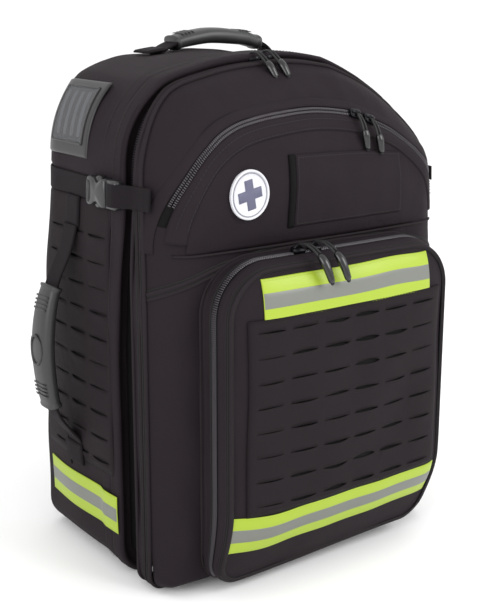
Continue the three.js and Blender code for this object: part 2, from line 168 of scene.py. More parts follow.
def skin(name, P, body, mat, closed=False, flip=False, keep=None, uv=None):
    """A surface through the grid of points P (rows, columns, xyz), laid in metres along its own rows and
    columns."""
    P = settle(P)
    rows, cols = P.shape[:2]
    index = np.arange(rows * cols).reshape(rows, cols)
    ring = np.concatenate([P, P[:, :1]], 1) if closed else P
    if closed:
        index = np.hstack([index, index[:, :1]])
    u = np.append(0, np.linalg.norm(np.diff(ring, axis=1), axis=2).mean(0).cumsum())
    v = np.append(0, np.linalg.norm(np.diff(P, axis=0), axis=2).mean(1).cumsum())
    grid = np.stack(np.meshgrid(u, v), -1) if uv is None else uv
    corner = lambda a: np.stack([a[:-1, :-1], a[:-1, 1:], a[1:, 1:], a[1:, :-1]], 2)
    quads, flat = corner(index).reshape(-1, 4), corner(grid).reshape(-1, 4, 2)
    if keep is not None:
        quads, flat = quads[keep.ravel()], flat[keep.ravel()]
    if flip:
        quads, flat = quads[:, ::-1], flat[:, ::-1]
    mesh = bpy.data.meshes.new(name)
    mesh.from_pydata(P.reshape(-1, 3), [], quads)
    mesh.uv_layers.new(name="UVMap").data.foreach_set("uv", flat.ravel())
    mesh.polygons.foreach_set("use_smooth", np.ones(len(quads), bool))
    work = bmesh.new()
    work.from_mesh(mesh)
    bmesh.ops.remove_doubles(work, verts=work.verts, dist=1e-6)
    bmesh.ops.delete(work, geom=[p for p in work.verts if not p.link_faces], context="VERTS")
    work.to_mesh(mesh)
    work.free()
    obj = bpy.data.objects.new(name, mesh)
    scene.collection.objects.link(obj)
    mesh.materials.append(mat)
    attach(obj, body)
    return obj


def thicken(obj, depth, offset=-1.0):
    """Gives a surface its cloth thickness, inward from its face."""
    wall = obj.modifiers.new("thickness", "SOLIDIFY")
    wall.thickness, wall.offset, wall.use_even_offset = depth, offset, False
    return obj


def outline(half, top, crown, shoulder, foot, bottom=0.0, inset=0.0, counts=(14, 9, 60, 30, 40)):
    """Arched outline in X and Z, from the bottom centre round by the right: straight foot, round corner,
    straight side, round shoulder, shallow crown, then the same mirrored. An inset shrinks every stretch
    about its centre."""
    h, t, c, s = half - inset, top - inset, crown - inset, shoulder - inset
    f, b = max(foot - inset, 0.002), bottom + inset
    side_x, crown_z = h - s, t - c
    shoulder_z = crown_z + math.sqrt((c - s) ** 2 - side_x ** 2)
    meet = math.atan2(shoulder_z - crown_z, side_x)
    turn = lambda a0, a1, n: np.linspace(a0, a1, n, endpoint=False)
    a = turn(-math.pi / 2, 0, counts[1])
    e = turn(0, meet, counts[3])
    g = turn(meet, math.pi / 2, counts[4])
    z = turn(b + f, shoulder_z, counts[2])
    right = np.concatenate([
        np.stack([turn(0, h - f, counts[0]), np.full(counts[0], b)], 1),
        np.stack([h - f + f * np.cos(a), b + f + f * np.sin(a)], 1),
        np.stack([np.full(counts[2], h), z], 1),
        np.stack([side_x + s * np.cos(e), shoulder_z + s * np.sin(e)], 1),
        np.stack([c * np.cos(g), crown_z + c * np.sin(g)], 1), [[0, t]]])
    return np.concatenate([right, right[-2:0:-1] * [-1, 1]])


def normals(P, closed=False):
    """Unit normals of a grid surface: its column direction crossed with its row direction."""
    wide = np.concatenate([P[:, -1:], P, P[:, :1]], 1) if closed else P
    du = np.gradient(wide, axis=1)[:, 1:-1] if closed else np.gradient(P, axis=1)
    n = np.cross(du, np.gradient(P, axis=0))
    return n / np.maximum(np.linalg.norm(n, axis=2, keepdims=True), 1e-9)


def slack(P, wave, depth, seed):
    """Unevenness of slack cloth: nine sine waves of random heading and phase about one wavelength, summed."""
    rng = np.random.default_rng(seed)
    k = rng.normal(size=(9, 3))
    k *= (2 * math.pi / wave) * rng.uniform(0.6, 1.7, (9, 1)) / np.linalg.norm(k, axis=1, keepdims=True)
    return depth * np.sin(P @ k.T + rng.uniform(0, 6.3, 9)).sum(-1) / 4


def pack_cloth(name, colour, thread=0.9, bump=0.35, wrinkle=0.25):
    """Woven nylon pack cloth: plain weave coarser than the real 0.4 mm so that it shows, matte with a soft
    sheen."""
    m, t, shader = material(name, Roughness=0.70, Sheen_Weight=0.02, Sheen_Roughness=0.45,
                            Specular_IOR_Level=0.10)
    shader.inputs["Sheen Tint"].default_value = linear("#8a8088")
    at = node(t, "ShaderNodeTexCoord")
    metres = node(t, "ShaderNodeSeparateXYZ", None, Vector=(at, "UV"))
    rate = 2 * math.pi / (thread * MM)
    weave = None
    for axis in ("X", "Y"):
        turns = node(t, "ShaderNodeMath", {"operation": "MULTIPLY"}, i0=(metres, axis), i1=rate)
        wave = node(t, "ShaderNodeMath", {"operation": "SINE"}, i0=(turns, 0))
        weave = wave if weave is None else node(t, "ShaderNodeMath", {"operation": "MULTIPLY"},
                                                i0=(weave, 0), i1=(wave, 0))
    cloud = node(t, "ShaderNodeTexNoise", None, Vector=(at, "Object"), Scale=9.0, Detail=3.0)
    grain = node(t, "ShaderNodeTexNoise", None, Vector=(at, "Object"), Scale=900.0, Detail=2.0)
    tone = node(t, "ShaderNodeMix", {"data_type": "RGBA"}, i0=(cloud, 0))
    base = np.array(linear(colour))
    tone.inputs[6].default_value = (*(base[:3] * 0.82), 1)
    tone.inputs[7].default_value = (*(base[:3] * 1.22), 1)
    t.links.new(tone.outputs[2], shader.inputs["Base Color"])
    crease = node(t, "ShaderNodeTexNoise", None, Vector=(at, "Object"), Scale=38.0, Detail=4.0,
                  Distortion=1.2)
    soft = node(t, "ShaderNodeBump", None, Strength=wrinkle, Distance=0.004, Height=(crease, 0))
    rough = node(t, "ShaderNodeBump", None, Strength=0.25, Distance=0.0004, Height=(grain, 0),
                 Normal=(soft, 0))
    fine = node(t, "ShaderNodeBump", None, Strength=bump, Distance=0.0003, Height=(weave, 0),
                Normal=(rough, 0))
    t.links.new(fine.outputs[0], shader.inputs["Normal"])
    return m


CLOTH = pack_cloth("nylon pack cloth", "#201a1e")


def wall_swell(y, z):
    """How far the side wall bulges: a half sine over its depth, fullest low down."""
    return 0.0055 * np.sin(np.pi * np.clip((y - RIM_Y) / (BACK_Y - RIM_Y), 0, 1)) * np.sin(
        np.pi * np.clip(z / TOP, 0, 1) ** 0.6)


def edge_radius(x, z):
    """Radius between gusset and back: tight at the foot, soft at the shoulders, moderate over the crown."""
    side = 0.006 + 0.046 * ease(z, 0.06, 0.42)
    return 0.020 + (side - 0.020) * ease(np.abs(x), 0.11, 0.175)


def rear_ring(y, inset=0.0):
    """Outline of the rear compartment at depth y. The rim leans forward above mid height, where the gap
    narrows, and again over the crown, where it closes."""
    y, inset = np.broadcast_to(y, len(BASE)), np.broadcast_to(inset, len(BASE))
    ring = BASE - inset[:, None] * BASE_OUT
    x, z = ring[:, 0], ring[:, 1]
    lean = 0.013 * ease(z, 0.22, 0.37) + 0.006 * ease(z, 0.43, 0.48)
    forward = lean * np.maximum(0, 1 - (y - RIM_Y) / 0.05)
    return np.stack([x + np.sign(x) * wall_swell(y, z), y - forward, np.maximum(z, 0)], 1)


BASE = outline(HALF, TOP, CROWN, SHOULDER, FOOT)
BASE_OUT = (BASE - outline(HALF, TOP, CROWN, SHOULDER, FOOT, inset=MM)) / MM
R = edge_radius(BASE[:, 0], BASE[:, 1])
rows = [rear_ring(RIM_Y + k * (BACK_Y - R - RIM_Y)) for k in np.linspace(0, 1, 44)]
rows += [rear_ring(BACK_Y - R + R * math.sin(a), R * (1 - math.cos(a)))
         for a in np.linspace(0, math.pi / 2, 11)[1:]]
middle = np.array([0, BACK_Y, 0.25])
rows += [middle + k * (rows[-1] - middle) for k in np.linspace(1, 0, 14)[1:]]
P = np.array(rows)
P -= normals(P, True) * (slack(P, 0.11, 0.0016, 3) * ease(P[..., 2], 0.004, 0.05)
                         + 0.0030 * ease(P[..., 2], 0.398, 0.401) * ease(0.5 - P[..., 2], 0, 0.05))[..., None]
P[..., 2] = np.maximum(P[..., 2], 0)
rear = thicken(skin("rear_compartment", P, "rear_compartment", CLOTH, closed=True, flip=True),
               0.004)
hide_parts("rear_shell")

# ---- Rim binding ----------------------------------------------------------
# Two bands of folded cloth sewn round the front rim of the rear compartment:
# a rolled lip that hoods the zipper, and a flat tape behind it.
BAND = [(-0.0300, 0.0220), (-0.0305, 0.0110), (-0.0315, 0.0055), (-0.0345, 0.0030), (-0.0362, 0.0008),
        (-0.0360, -0.0012), (-0.0342, -0.0026), (-0.0300, -0.0030), (-0.0230, -0.0028), (-0.0208, -0.0022),
        (-0.0200, -0.0010), (-0.0192, -0.0019), (-0.0150, -0.0020), (-0.0070, -0.0019), (-0.0056, -0.0014),
        (-0.0052, 0.0006)]
BINDING = pack_cloth("grosgrain binding", "#231d21", thread=0.7, bump=0.5, wrinkle=0.12)
rows = np.array([rear_ring(y, inset) for y, inset in BAND])
rows += normals(rows, True) * slack(rows, 0.09, 0.0007, 5)[..., None]
rows[..., 2] = np.maximum(rows[..., 2], 0)
thicken(skin("rim_binding", rows, "rear_compartment", BINDING, closed=True, flip=True), 0.0006)


def sweep(name, line, side, section, body, mat, closed=False):
    """A closed cross-section carried along a line. Each section point is (sideways, up) from the line, and
    the ends are closed by a flat fan. Side is the sideways direction, one for all points or one for
    each."""
    line = np.asarray(line, float)
    T = np.roll(line, -1, 0) - np.roll(line, 1, 0) if closed else np.gradient(line, axis=0)
    T /= np.linalg.norm(T, axis=1, keepdims=True)
    S = np.broadcast_to(np.asarray(side, float), line.shape)
    S = S - (S * T).sum(1, keepdims=True) * T
    S = S / np.linalg.norm(S, axis=1, keepdims=True)
    U = np.cross(T, S)
    section = np.broadcast_to(np.asarray(section, float), (len(line), *np.shape(section)[-2:]))
    P = line[:, None] + section[..., :1] * S[:, None] + section[..., 1:] * U[:, None]
    if closed:
        P = np.concatenate([P, P[:1]])
    else:
        caps = np.repeat(P[[0, -1]].mean(1, keepdims=True), P.shape[1], axis=1)
        P = np.concatenate([caps[:1], P, caps[1:]])
    return skin(name, P, body, mat, closed=True)


def circle(radius, n=10, squash=1.0):
    """A round section, flattened upward by squash."""
    a = np.arange(n) * 2 * math.pi / n
    return np.stack([radius * np.cos(a), radius * squash * np.sin(a)], 1)


def strap_section(width, thick):
    """A flat section with rounded edges, for webbing and tape."""
    a = np.concatenate([np.linspace(-math.pi / 2, math.pi / 2, 7),
                        np.linspace(math.pi / 2, 3 * math.pi / 2, 7)])
    shift = np.repeat([width / 2 - thick / 2, -width / 2 + thick / 2], 7)
    across = np.linspace(-width / 2 + thick, width / 2 - thick, 7)
    edge = np.stack([thick / 2 * np.cos(a) + shift, thick / 2 * np.sin(a)], 1)
    top = np.stack([across[::-1], np.full(7, thick / 2)], 1)
    base = np.stack([across, np.full(7, -thick / 2)], 1)
    return np.concatenate([edge[:7], top[1:-1], edge[7:], base[1:-1]])


def beads(name, line, up, size, pitch, body, mat, sway=0.0, lift=0.0, share=0.55):
    """Small raised blocks spaced evenly along a line, for stitches and zipper teeth. Size is (along,
    across, high); each block narrows upward to a share of its base, and sway shifts every second one to the
    other side."""
    line = np.asarray(line, float)
    at = np.append(0, np.linalg.norm(np.diff(line, axis=0), axis=1).cumsum())
    s = np.arange(pitch / 2, at[-1], pitch)
    pick = lambda v, q: np.stack([np.interp(q, at, v[:, k]) for k in range(3)], 1)
    C = pick(line, s)
    T = pick(line, np.minimum(s + pitch / 2, at[-1])) - pick(line, s - pitch / 2)
    T /= np.linalg.norm(T, axis=1, keepdims=True)
    N = pick(np.broadcast_to(np.asarray(up, float), line.shape), s)
    N -= (N * T).sum(1, keepdims=True) * T
    N /= np.linalg.norm(N, axis=1, keepdims=True)
    S = np.cross(T, N)
    C = C + S * (sway * (-1) ** np.arange(len(s)))[:, None] + N * lift
    corners = np.array([(-1, -1, 0, 1), (1, -1, 0, 1), (1, 1, 0, 1), (-1, 1, 0, 1),
                        (-1, -1, 1, share), (1, -1, 1, share), (1, 1, 1, share), (-1, 1, 1, share)], float)
    V = (C[:, None] + corners[:, 0:1] * corners[:, 3:] * T[:, None] * size[0] / 2
         + corners[:, 1:2] * corners[:, 3:] * S[:, None] * size[1] / 2
         + corners[:, 2:3] * N[:, None] * size[2])
    faces = np.array([(0, 1, 2, 3), (4, 7, 6, 5), (0, 4, 5, 1), (1, 5, 6, 2), (2, 6, 7, 3), (3, 7, 4, 0)])
    V = settle(V)
    mesh = bpy.data.meshes.new(name)
    mesh.from_pydata(V.reshape(-1, 3), [],
                     (faces[None] + 8 * np.arange(len(s))[:, None, None]).reshape(-1, 4))
    mesh.materials.append(mat)
    obj = bpy.data.objects.new(name, mesh)
    scene.collection.objects.link(obj)
    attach(obj, body)
    return obj


def lay(ring, y, drop=0.0):
    """Outline points in X and Z set at depth y and moved inward by drop toward the middle of the ring."""
    c = np.array([0, 0.25])
    return np.stack([ring[:, 0], np.broadcast_to(y, len(ring)), ring[:, 1]], 1) - drop * np.insert(
        (ring - c) / np.linalg.norm(ring - c, axis=1, keepdims=True), 1, 0, axis=1)


THREAD = material("sewing thread", Base_Color=linear("#161315"), Roughness=0.7)[0]
STITCH, STITCH_PITCH = (0.0028, 0.0007, 0.0003), 0.0042
ABOVE_FOOT = slice(14, -13)  # the outline without its straight run along the floor
for name, y, inset in (("rim_stitch_front", -0.0238, -0.0031), ("rim_stitch_back", -0.0075, -0.0022)):
    outward = lay(BASE, 0)[ABOVE_FOOT] - (0, 0, 0.25)
    beads(name, rear_ring(y, inset)[ABOVE_FOOT], outward, (0.0028, 0.0007, 0.0004), STITCH_PITCH,
          "rear_compartment", THREAD)

# ---- Lid ------------------------------------------------------------------
# The front half of the clamshell: a narrow gusset and a face panel of the same
# cloth, joined by a piped seam, rounded at the sides and sloping away at the top.
LID_HALF, LID_TOP, LID_FOOT, LID_CORNER = 0.180, 0.507, 0.002, 0.015
LID_BACK, SIDE_SEAM, TOP_SEAM = -0.058, -0.080, -0.064


def inside(x, z, half, top, crown, shoulder, foot, bottom):
    """Distance from each point to the nearest edge of an arched outline, inward positive."""
    ax, side_x, crown_z = np.abs(x), half - shoulder, top - crown
    shoulder_z = crown_z + math.sqrt((crown - shoulder) ** 2 - side_x ** 2)
    meet = math.atan2(shoulder_z - crown_z, side_x)
    to_crown = crown - np.hypot(x, z - crown_z)
    to_shoulder = shoulder - np.hypot(ax - side_x, z - shoulder_z)
    on_crown = np.arctan2(z - crown_z, ax) > meet
    above = np.where(on_crown, to_crown, to_shoulder)
    sides = np.where(z > shoulder_z, above, half - ax)
    sides = np.where((z > shoulder_z) & (ax < side_x), to_crown, sides)
    corner = (ax > half - foot) & (z < bottom + foot)
    low = np.where(corner, foot - np.hypot(ax - (half - foot), z - (bottom + foot)), z - bottom)
    return np.where(corner, low, np.minimum(sides, low))


def lid_y(x, z, out=0.0):
    """Depth of the lid's face. It starts at the piped seam, rounds over within 45 mm of the edge at the
    sides and 12 to 15 mm at the crown and foot, and meets a face that is flat below, leans back toward the
    crown and swells a little at the middle."""
    d = np.maximum(inside(x, z, LID_HALF, LID_TOP, CROWN, SHOULDER, LID_CORNER, LID_FOOT), 0)
    seam = SIDE_SEAM + 0.009 * ease(z, 0.30, 0.42) + (TOP_SEAM - SIDE_SEAM - 0.009) * ease(z, 0.43, 0.48)
    face = -np.interp(z, [0, 0.014, 0.06, 0.33, 0.36, 0.40, 0.432, 0.458, 0.480, 0.496, 0.507],
                      [0.109, 0.113, 0.1135, 0.1135, 0.115, 0.1155, 0.1125, 0.1035, 0.090, 0.077, 0.065])
    face = np.minimum(face - 0.002 + 0.005 * (x / 0.15) ** 2, seam)
    width = 0.045 - 0.033 * ease(z, 0.44, 0.50) - 0.030 * (1 - ease(z, 0.01, 0.08))
    round_over = 1 - np.clip(1 - d / width, 0, 1) ** 2.3
    return seam + (face - seam) * round_over - out


def lid_ring(inset=0.0):
    return outline(LID_HALF, LID_TOP, CROWN, SHOULDER, LID_CORNER, bottom=LID_FOOT, inset=inset)


def lid_points(x, z, out=0.0):
    return np.stack([x, lid_y(x, z, out), z], -1)


edge = lid_ring()
seam_y = lid_y(edge[:, 0], edge[:, 1])
back_y = LID_BACK - 0.003 * ease(edge[:, 1], 0.30, 0.42) + 0.006 * ease(edge[:, 1], 0.44, 0.49)
rows = [lay(edge, back_y, 0.006), lay(edge, back_y - 0.0004, 0.003), lay(edge, back_y - 0.0012, 0.0008)]
rows += [lay(edge, back_y + k * (seam_y - back_y)) for k in np.linspace(0.14, 0.92, 9)]
rows += [lay(edge, seam_y + 0.0006, 0.0012), lay(edge, seam_y, 0.0030)]
P = np.array(rows)
P[3:-2] += normals(P, True)[3:-2] * slack(P[3:-2], 0.10, 0.0016, 7)[..., None]
P[..., 2] = np.maximum(P[..., 2], 0.001)
thicken(skin("lid_gusset", P, "lid", CLOTH, closed=True), 0.004)


def upper_seam(x):
    """Height of the seam between the lid's lower panel and its upper part, which dips toward the sides."""
    return 0.336 - 0.034 * np.abs(x / LID_HALF) ** 2.8


FLAP = dict(half=0.165, top=0.457, crown=0.343, shoulder=0.105, foot=0.004, bottom=0.2)
FLAP_SEAM, ARCH_FOOT = 0.338, 0.336  # heights of the flap's seam and of the zipper's two ends


def in_flap(x, z):
    """Distance inside the upper pocket's arched opening, above its straight lower edge."""
    return np.minimum(inside(x, z, **FLAP), z - FLAP_SEAM)


rows = [lid_ring(i) for i in (0.0015, 0.003, 0.005, 0.008, 0.011, 0.014, 0.018, 0.022, 0.026, 0.031, 0.037,
                              0.044)]
middle = np.array([0, 0.25])
rows += [middle + k * (rows[-1] - middle) for k in np.linspace(1, 0, 44)[1:]]
XZ = np.array(rows)
P = lid_points(XZ[..., 0], XZ[..., 1])
folds = slack(P, 0.10, 0.0014, 11) + slack(P * (1, 1, 0.5), 0.035, 0.0005, 12)
P[..., 1] += folds * ease(inside(XZ[..., 0], XZ[..., 1], LID_HALF, LID_TOP, CROWN, SHOULDER, FOOT, LID_FOOT),
                          0, 0.02)
hole = in_flap(XZ[..., 0], XZ[..., 1]) > 0.012
open_cell = hole & np.roll(hole, -1, 1)
keep = ~(open_cell[:-1] & open_cell[1:])
closed_xz = np.concatenate([XZ, XZ[:, :1]], 1)
face = thicken(skin("lid_face", P, "lid", CLOTH, closed=True, keep=keep, uv=closed_xz), 0.004)
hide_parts("lid_shell")
PIPING = pack_cloth("piped seam", "#231e21", thread=0.6, bump=0.3, wrinkle=0.05)
ring = lay(edge, seam_y - 0.0012, 0.0004)
sweep("lid_piping", ring, (0, 1, 0), circle(0.0022), "lid", PIPING, closed=True)
# Near-black lines laid along the seams are painted shade in the seam folds.
PAINTED_SEAM_SHADE = material("painted seam shade", Base_Color=linear("#0b0a0b"), Roughness=0.9)[0]
for k, back in enumerate((0.0028, 0.0098)):
    sweep(f"lid_seam_painted_shade_{k}", lay(edge, seam_y + back * (seam_y < back_y - 0.012), -0.0001), (0, 1, 0),
          circle(0.0013, 8), "lid", PAINTED_SEAM_SHADE, closed=True)
sweep("lid_piping_back", lay(edge, np.minimum(seam_y + 0.0068, back_y - 0.004), -0.0001), (0, 1, 0),
      circle(0.0016, 8), "lid", PIPING, closed=True)
ring = lay(edge, back_y - 0.0026, -0.0002)
sweep("lid_rim_piping", ring, (0, 1, 0), circle(0.0020), "lid", PIPING, closed=True)

# ---- Main zipper ----------------------------------------------------------
# Two woven tapes with a moulded coil, sewn inside the two rims, which meet in
# the middle of the recess and run all round the pack except along its foot.
TAPE_CLOTH = pack_cloth("woven zipper tape", "#0d0c0d", thread=0.8, bump=0.4, wrinkle=0.0)
COIL = material("nylon zipper coil", Base_Color=linear("#4a464b"), Roughness=0.42)[0]
TOOTH_PITCH = 0.0021
ZIP_IN = 0.009
TRACK_R, TRACK_Z = CROWN - ZIP_IN, LID_TOP - CROWN
for half_name, body, lo, hi, node_name in (("rear", "rear_compartment", -0.0463, -0.031, "main_zip_rear"),
                                           ("lid", "lid", -0.060, -0.0464, "main_zip_lid")):
    ring = outline(LID_HALF - ZIP_IN, LID_TOP - ZIP_IN, CROWN - ZIP_IN, SHOULDER - ZIP_IN, 0.021,
                   bottom=0.012)
    raised = np.insert(np.zeros((len(ring), 2)), 2, 0.0050 * ease(ring[:, 1], 0.42, 0.49), axis=1)
    rows = [lay(ring, y) + raised for y in np.linspace(lo, hi, 5)]
    tape = thicken(skin("main_zipper_tape_" + half_name, np.array(rows), body, TAPE_CLOTH,
                        closed=True, flip=True), 0.0012)
    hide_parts(node_name)
    run = slice(26, -26)
    line = (rows[-1] if body == "lid" else rows[0])[run] + (0, 0.0012 if body != "lid" else -0.0012, 0)
    outward = line * (1, 0, 1) - (0, 0, 0.25)
    lifted = line + 0.0003 * outward / np.linalg.norm(outward, axis=1, keepdims=True)
    beads("main_zipper_coil_" + half_name, lifted, outward, (0.0012, 0.0036, 0.0014), TOOTH_PITCH, body,
          COIL)

# ---- Foot hinge -----------------------------------------------------------
# A strip of the same cloth under the zipper's ends. It lies along the floor
# between the two halves.
x = np.linspace(-0.146, 0.146, 60)
yy = np.linspace(-0.064, -0.028, 19)
X, Y = np.meshgrid(x, yy)
P = np.stack([X, Y, 0.0042 - 0.0022 * np.sin(math.pi * (Y - yy[0]) / (yy[-1] - yy[0]))], -1)
hinge = thicken(skin("foot_hinge", P, "lid", CLOTH, flip=True), 0.0012)
hinge.parent = None
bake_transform(hinge)

# ---- Arched zipper of the upper pocket ------------------------------------
# A zipper let into the lid's face: a folded cloth guard outside it, tape and
# coil in the middle, and the flap's own binding inside it.
def arch_ring(grow):
    """The upper pocket's arch grown outward, from the seam on the left round to the seam on the right."""
    ring = outline(FLAP["half"] + grow, FLAP["top"] + grow, FLAP["crown"] + grow, FLAP["shoulder"] + grow,
                   FLAP["foot"], bottom=FLAP["bottom"], counts=(2, 2, 40, 40, 50))
    return ring[ring[:, 1] > ARCH_FOOT][::-1]


def on_lid(ring, out):
    """Outline points laid on the lid's face, standing out from it."""
    return lid_points(ring[:, 0], ring[:, 1], out)


n = min(len(arch_ring(g)) for g in (0.0, 0.007, 0.016))
trim = lambda ring: ring[(len(ring) - n) // 2:][:n]
rows = [on_lid(trim(arch_ring(g)), out) for g, out in ((0.0175, -0.001), (0.0172, 0.0010), (0.0165, 0.0018),
                                                       (0.0120, 0.0019), (0.0098, 0.0018), (0.0092, 0.0010),
                                                       (0.0092, 0.0002))]
thicken(skin("arch_zipper_guard", np.array(rows)[:, 1:-1], "lid", BINDING, flip=True), 0.0006)
rows = [on_lid(trim(arch_ring(g)), 0.0006) for g in (0.012, 0.007, 0.0035)]
tape = thicken(skin("arch_zipper_tape", np.array(rows)[:, 8:-8], "lid", TAPE_CLOTH, flip=True),
               0.0006)
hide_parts("arch_zip_tape")
for name, grow, body in (("outer", 0.0072, "lid"), ("inner", 0.0042, "upper_flap")):
    beads("arch_zipper_coil_" + name, on_lid(arch_ring(grow)[13:-13], 0.0008), (0, -1, 0.3),
          (0.0012, 0.0030, 0.0013), TOOTH_PITCH, body, COIL)

# ---- Upper flap -----------------------------------------------------------
# The front wall of the upper pocket: padded cloth edged by a folded binding,
# sewn to the lid along its straight lower edge.
PUFF = 0.003


def flap_points(x, z, out=0.0):
    """The flap's face: the lid's face stood out by its padding, more toward the middle, with its own
    slack."""
    d = np.maximum(in_flap(x, z), 0)
    P = lid_points(x, z, PUFF * ease(d, -0.004, 0.016) + 0.0016 * ease(d, 0.01, 0.06) + out)
    P[..., 1] += (slack(P, 0.09, 0.0013, 21) + slack(P, 0.04, 0.0004, 22)) * ease(d, 0, 0.03)
    return P


arch = arch_ring(-0.0125)
arch = arch[arch[:, 1] > 0.3425]
base = np.stack([arch[:, 0] * 0.999, np.full(len(arch), 0.341)], 1)
k = np.append(0, 1 - np.linspace(1, 0, 40)[1:] ** 1.3)[:, None, None]
XZ = base + k * (arch - base)
flap = thicken(skin("upper_flap", flap_points(XZ[..., 0], XZ[..., 1]), "upper_flap", CLOTH,
                    uv=XZ), 0.003)
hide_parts("upper_flap")
rows = []
for g, out in ((0.0026, -0.001), (0.0030, 0.0010), (0.0024, 0.0024), (0.0005, 0.0034), (-0.0060, 0.0042),
               (-0.0105, 0.0040), (-0.0124, 0.0030), (-0.0130, 0.0016)):
    rows.append(on_lid(trim(arch_ring(g)), out))
thicken(skin("flap_binding", np.array(rows)[:, 4:-4], "upper_flap", BINDING, flip=True), 0.0006)
for name, g in (("outer", -0.0016), ("inner", -0.0104)):
    beads("flap_stitch_" + name, on_lid(arch_ring(g)[8:-8], 0.0041), (0, -1, 0), STITCH, STITCH_PITCH,
          "upper_flap", THREAD)
x = np.linspace(-0.163, 0.163, 90)
line = lid_points(x, np.full(90, 0.3395), 0.0022)
sweep("flap_hem", line, (0, 0, 1), circle(0.0012, 8, 0.7), "upper_flap", PIPING)
x = np.linspace(-0.178, 0.178, 120)
# The near-black lines either side of the cross seam are painted shade in its folds.
for name, dz, r, mat in (("lid_cross_seam", 0, 0.0026, PIPING), ("lid_cross_hem", -0.0052, 0.0020, PIPING),
                         ("lid_cross_fold", -0.0028, 0.0011, PAINTED_SEAM_SHADE),
                         ("lid_cross_shade", 0.0032, 0.0010, PAINTED_SEAM_SHADE)):
    sweep(name, lid_points(x, upper_seam(x) + dz, 0.0006), (0, 0, 1), circle(r, 8, 0.8), "lid", mat)

# ---- Upper pouch ----------------------------------------------------------
# A shallow bag of thin lining behind the arched opening, open toward the flap.
LINING = pack_cloth("nylon lining", "#45413f", thread=0.5, bump=0.2, wrinkle=0.3)
lo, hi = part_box("upper_pouch")
POUCH_PROFILE = [(-0.104, 0.0), (-0.098, 0.001), (-0.085, 0.001), (-0.0745, 0.003), (-0.0725, 0.012)]
pouch_ring = lambda i: outline(hi.x - i, hi.z - i, 0.31 - i, 0.085 - i, max(0.02 - i, 0.004), bottom=lo.z + i)
rows = [lay(pouch_ring(i), y) for y, i in POUCH_PROFILE]
middle = np.array([0, -0.0725, 0.395])
rows += [middle + k * (rows[-1] - middle) for k in np.linspace(1, 0, 9)[1:]]
pouch = thicken(skin("upper_pouch", np.array(rows), "lid", LINING, closed=True, flip=True), 0.0012)
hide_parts("upper_pouch")
flange = [lay(pouch_ring(i), y) for y, i in ((-0.104, 0.0), (-0.1035, -0.004), (-0.0965, -0.012))]
thicken(skin("pouch_flange", np.array(flange), "lid", LINING, closed=True), 0.0010)

# ---- Loop panel and badge -------------------------------------------------
# A rectangle of hook-and-loop pile sewn on the flap, a raised near-black strip of
# painted shadow along its left edge, and beside it a round moulded rubber badge with a plain cross.
PILE = pack_cloth("loop pile", "#221c20", thread=1.6, bump=0.8, wrinkle=0.1)


def patch(name, x0, x1, z0, z1, surface, height, body, mat, step=0.004, edge=0.0012, flip=False):
    """A flat patch laid on a surface: its face stands out by height and its edge turns down within a hem's
    width."""

    def across(a, b):
        """Grid lines from a to b, close together where the edge turns down."""
        inner = np.linspace(a + 2.5 * edge, b - 2.5 * edge, max(3, int((b - a) / step)))
        return np.concatenate([[a, a, a + edge], inner, [b - edge, b, b]])

    xs, zs = across(x0, x1), across(z0, z1)
    rise = lambda v: np.concatenate([[0, 0.55, 0.9], np.ones(len(v) - 6), [0.9, 0.55, 0]])
    up = np.minimum.outer(rise(zs), rise(xs)) * height
    X, Z = np.meshgrid(xs, zs)
    return thicken(skin(name, surface(X, Z, up), body, mat, flip=flip,
                        uv=np.stack([X - x0, Z - z0], -1)), 0.0004)


loop = patch("loop_panel", -0.036, 0.104, 0.356, 0.424, flap_points, 0.0022, "upper_flap", PILE)
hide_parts("loop_panel")
# A raised near-black strip along the panel's left edge is painted shadow.
PAINTED_EDGE_SHADOW = pack_cloth("painted panel-edge shadow", "#0b0a0b", thread=0.6, bump=0.3, wrinkle=0.0)
patch("loop_panel_painted_edge_shadow", -0.0435, -0.0362, 0.3555, 0.4245, flap_points, 0.0026, "upper_flap",
      PAINTED_EDGE_SHADOW)
frame_line = np.array([(-0.0335, 0.3585), (0.1015, 0.3585), (0.1015, 0.4215), (-0.0335, 0.4215),
                       (-0.0335, 0.3585)])
for k, (a, b) in enumerate(zip(frame_line[:-1], frame_line[1:])):
    t = np.linspace(0, 1, 30)[:, None]
    pts = a + t * (b - a)
    beads(f"loop_panel_stitch_{k}", flap_points(pts[:, 0], pts[:, 1], 0.0023), (0, -1, 0),
          (0.0026, 0.0007, 0.0003), 0.0040, "upper_flap", THREAD)
BADGE_X, BADGE_Z, BADGE_R = -0.090, 0.391, 0.0225
WHITE = material("white moulded rubber", Base_Color=linear("#cfcfd4"), Roughness=0.5)[0]
GREY = material("grey moulded rubber", Base_Color=linear("#85858e"), Roughness=0.5)[0]
SLATE = material("slate blue moulded rubber", Base_Color=linear("#55566c"), Roughness=0.5)[0]
a = np.arange(64) * 2 * math.pi / 64
disc = lambda r, up: flap_points(BADGE_X + r * np.cos(a), BADGE_Z + r * np.sin(a), 0) * (1, 0, 1) + (
    0, flap_points(np.array([BADGE_X]), np.array([BADGE_Z]))[0, 1] - up, 0)
rows = [disc(r, up) for r, up in ((BADGE_R - 0.0008, -0.002), (BADGE_R, 0.0002), (BADGE_R, 0.0018),
                                  (BADGE_R - 0.0004, 0.0026), (BADGE_R - 0.0012, 0.0028),
                                  (BADGE_R - 0.0018, 0.0024), (BADGE_R - 0.0022, 0.0016), (0.012, 0.0016),
                                  (0.0, 0.0016))]
badge = skin("badge", np.array(rows), "upper_flap", WHITE, closed=True)
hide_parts("badge")
ring = disc(BADGE_R - 0.0031, 0.0016)
sweep("badge_rim", ring, (0, 1, 0), circle(0.0006, 6), "upper_flap", GREY, closed=True)


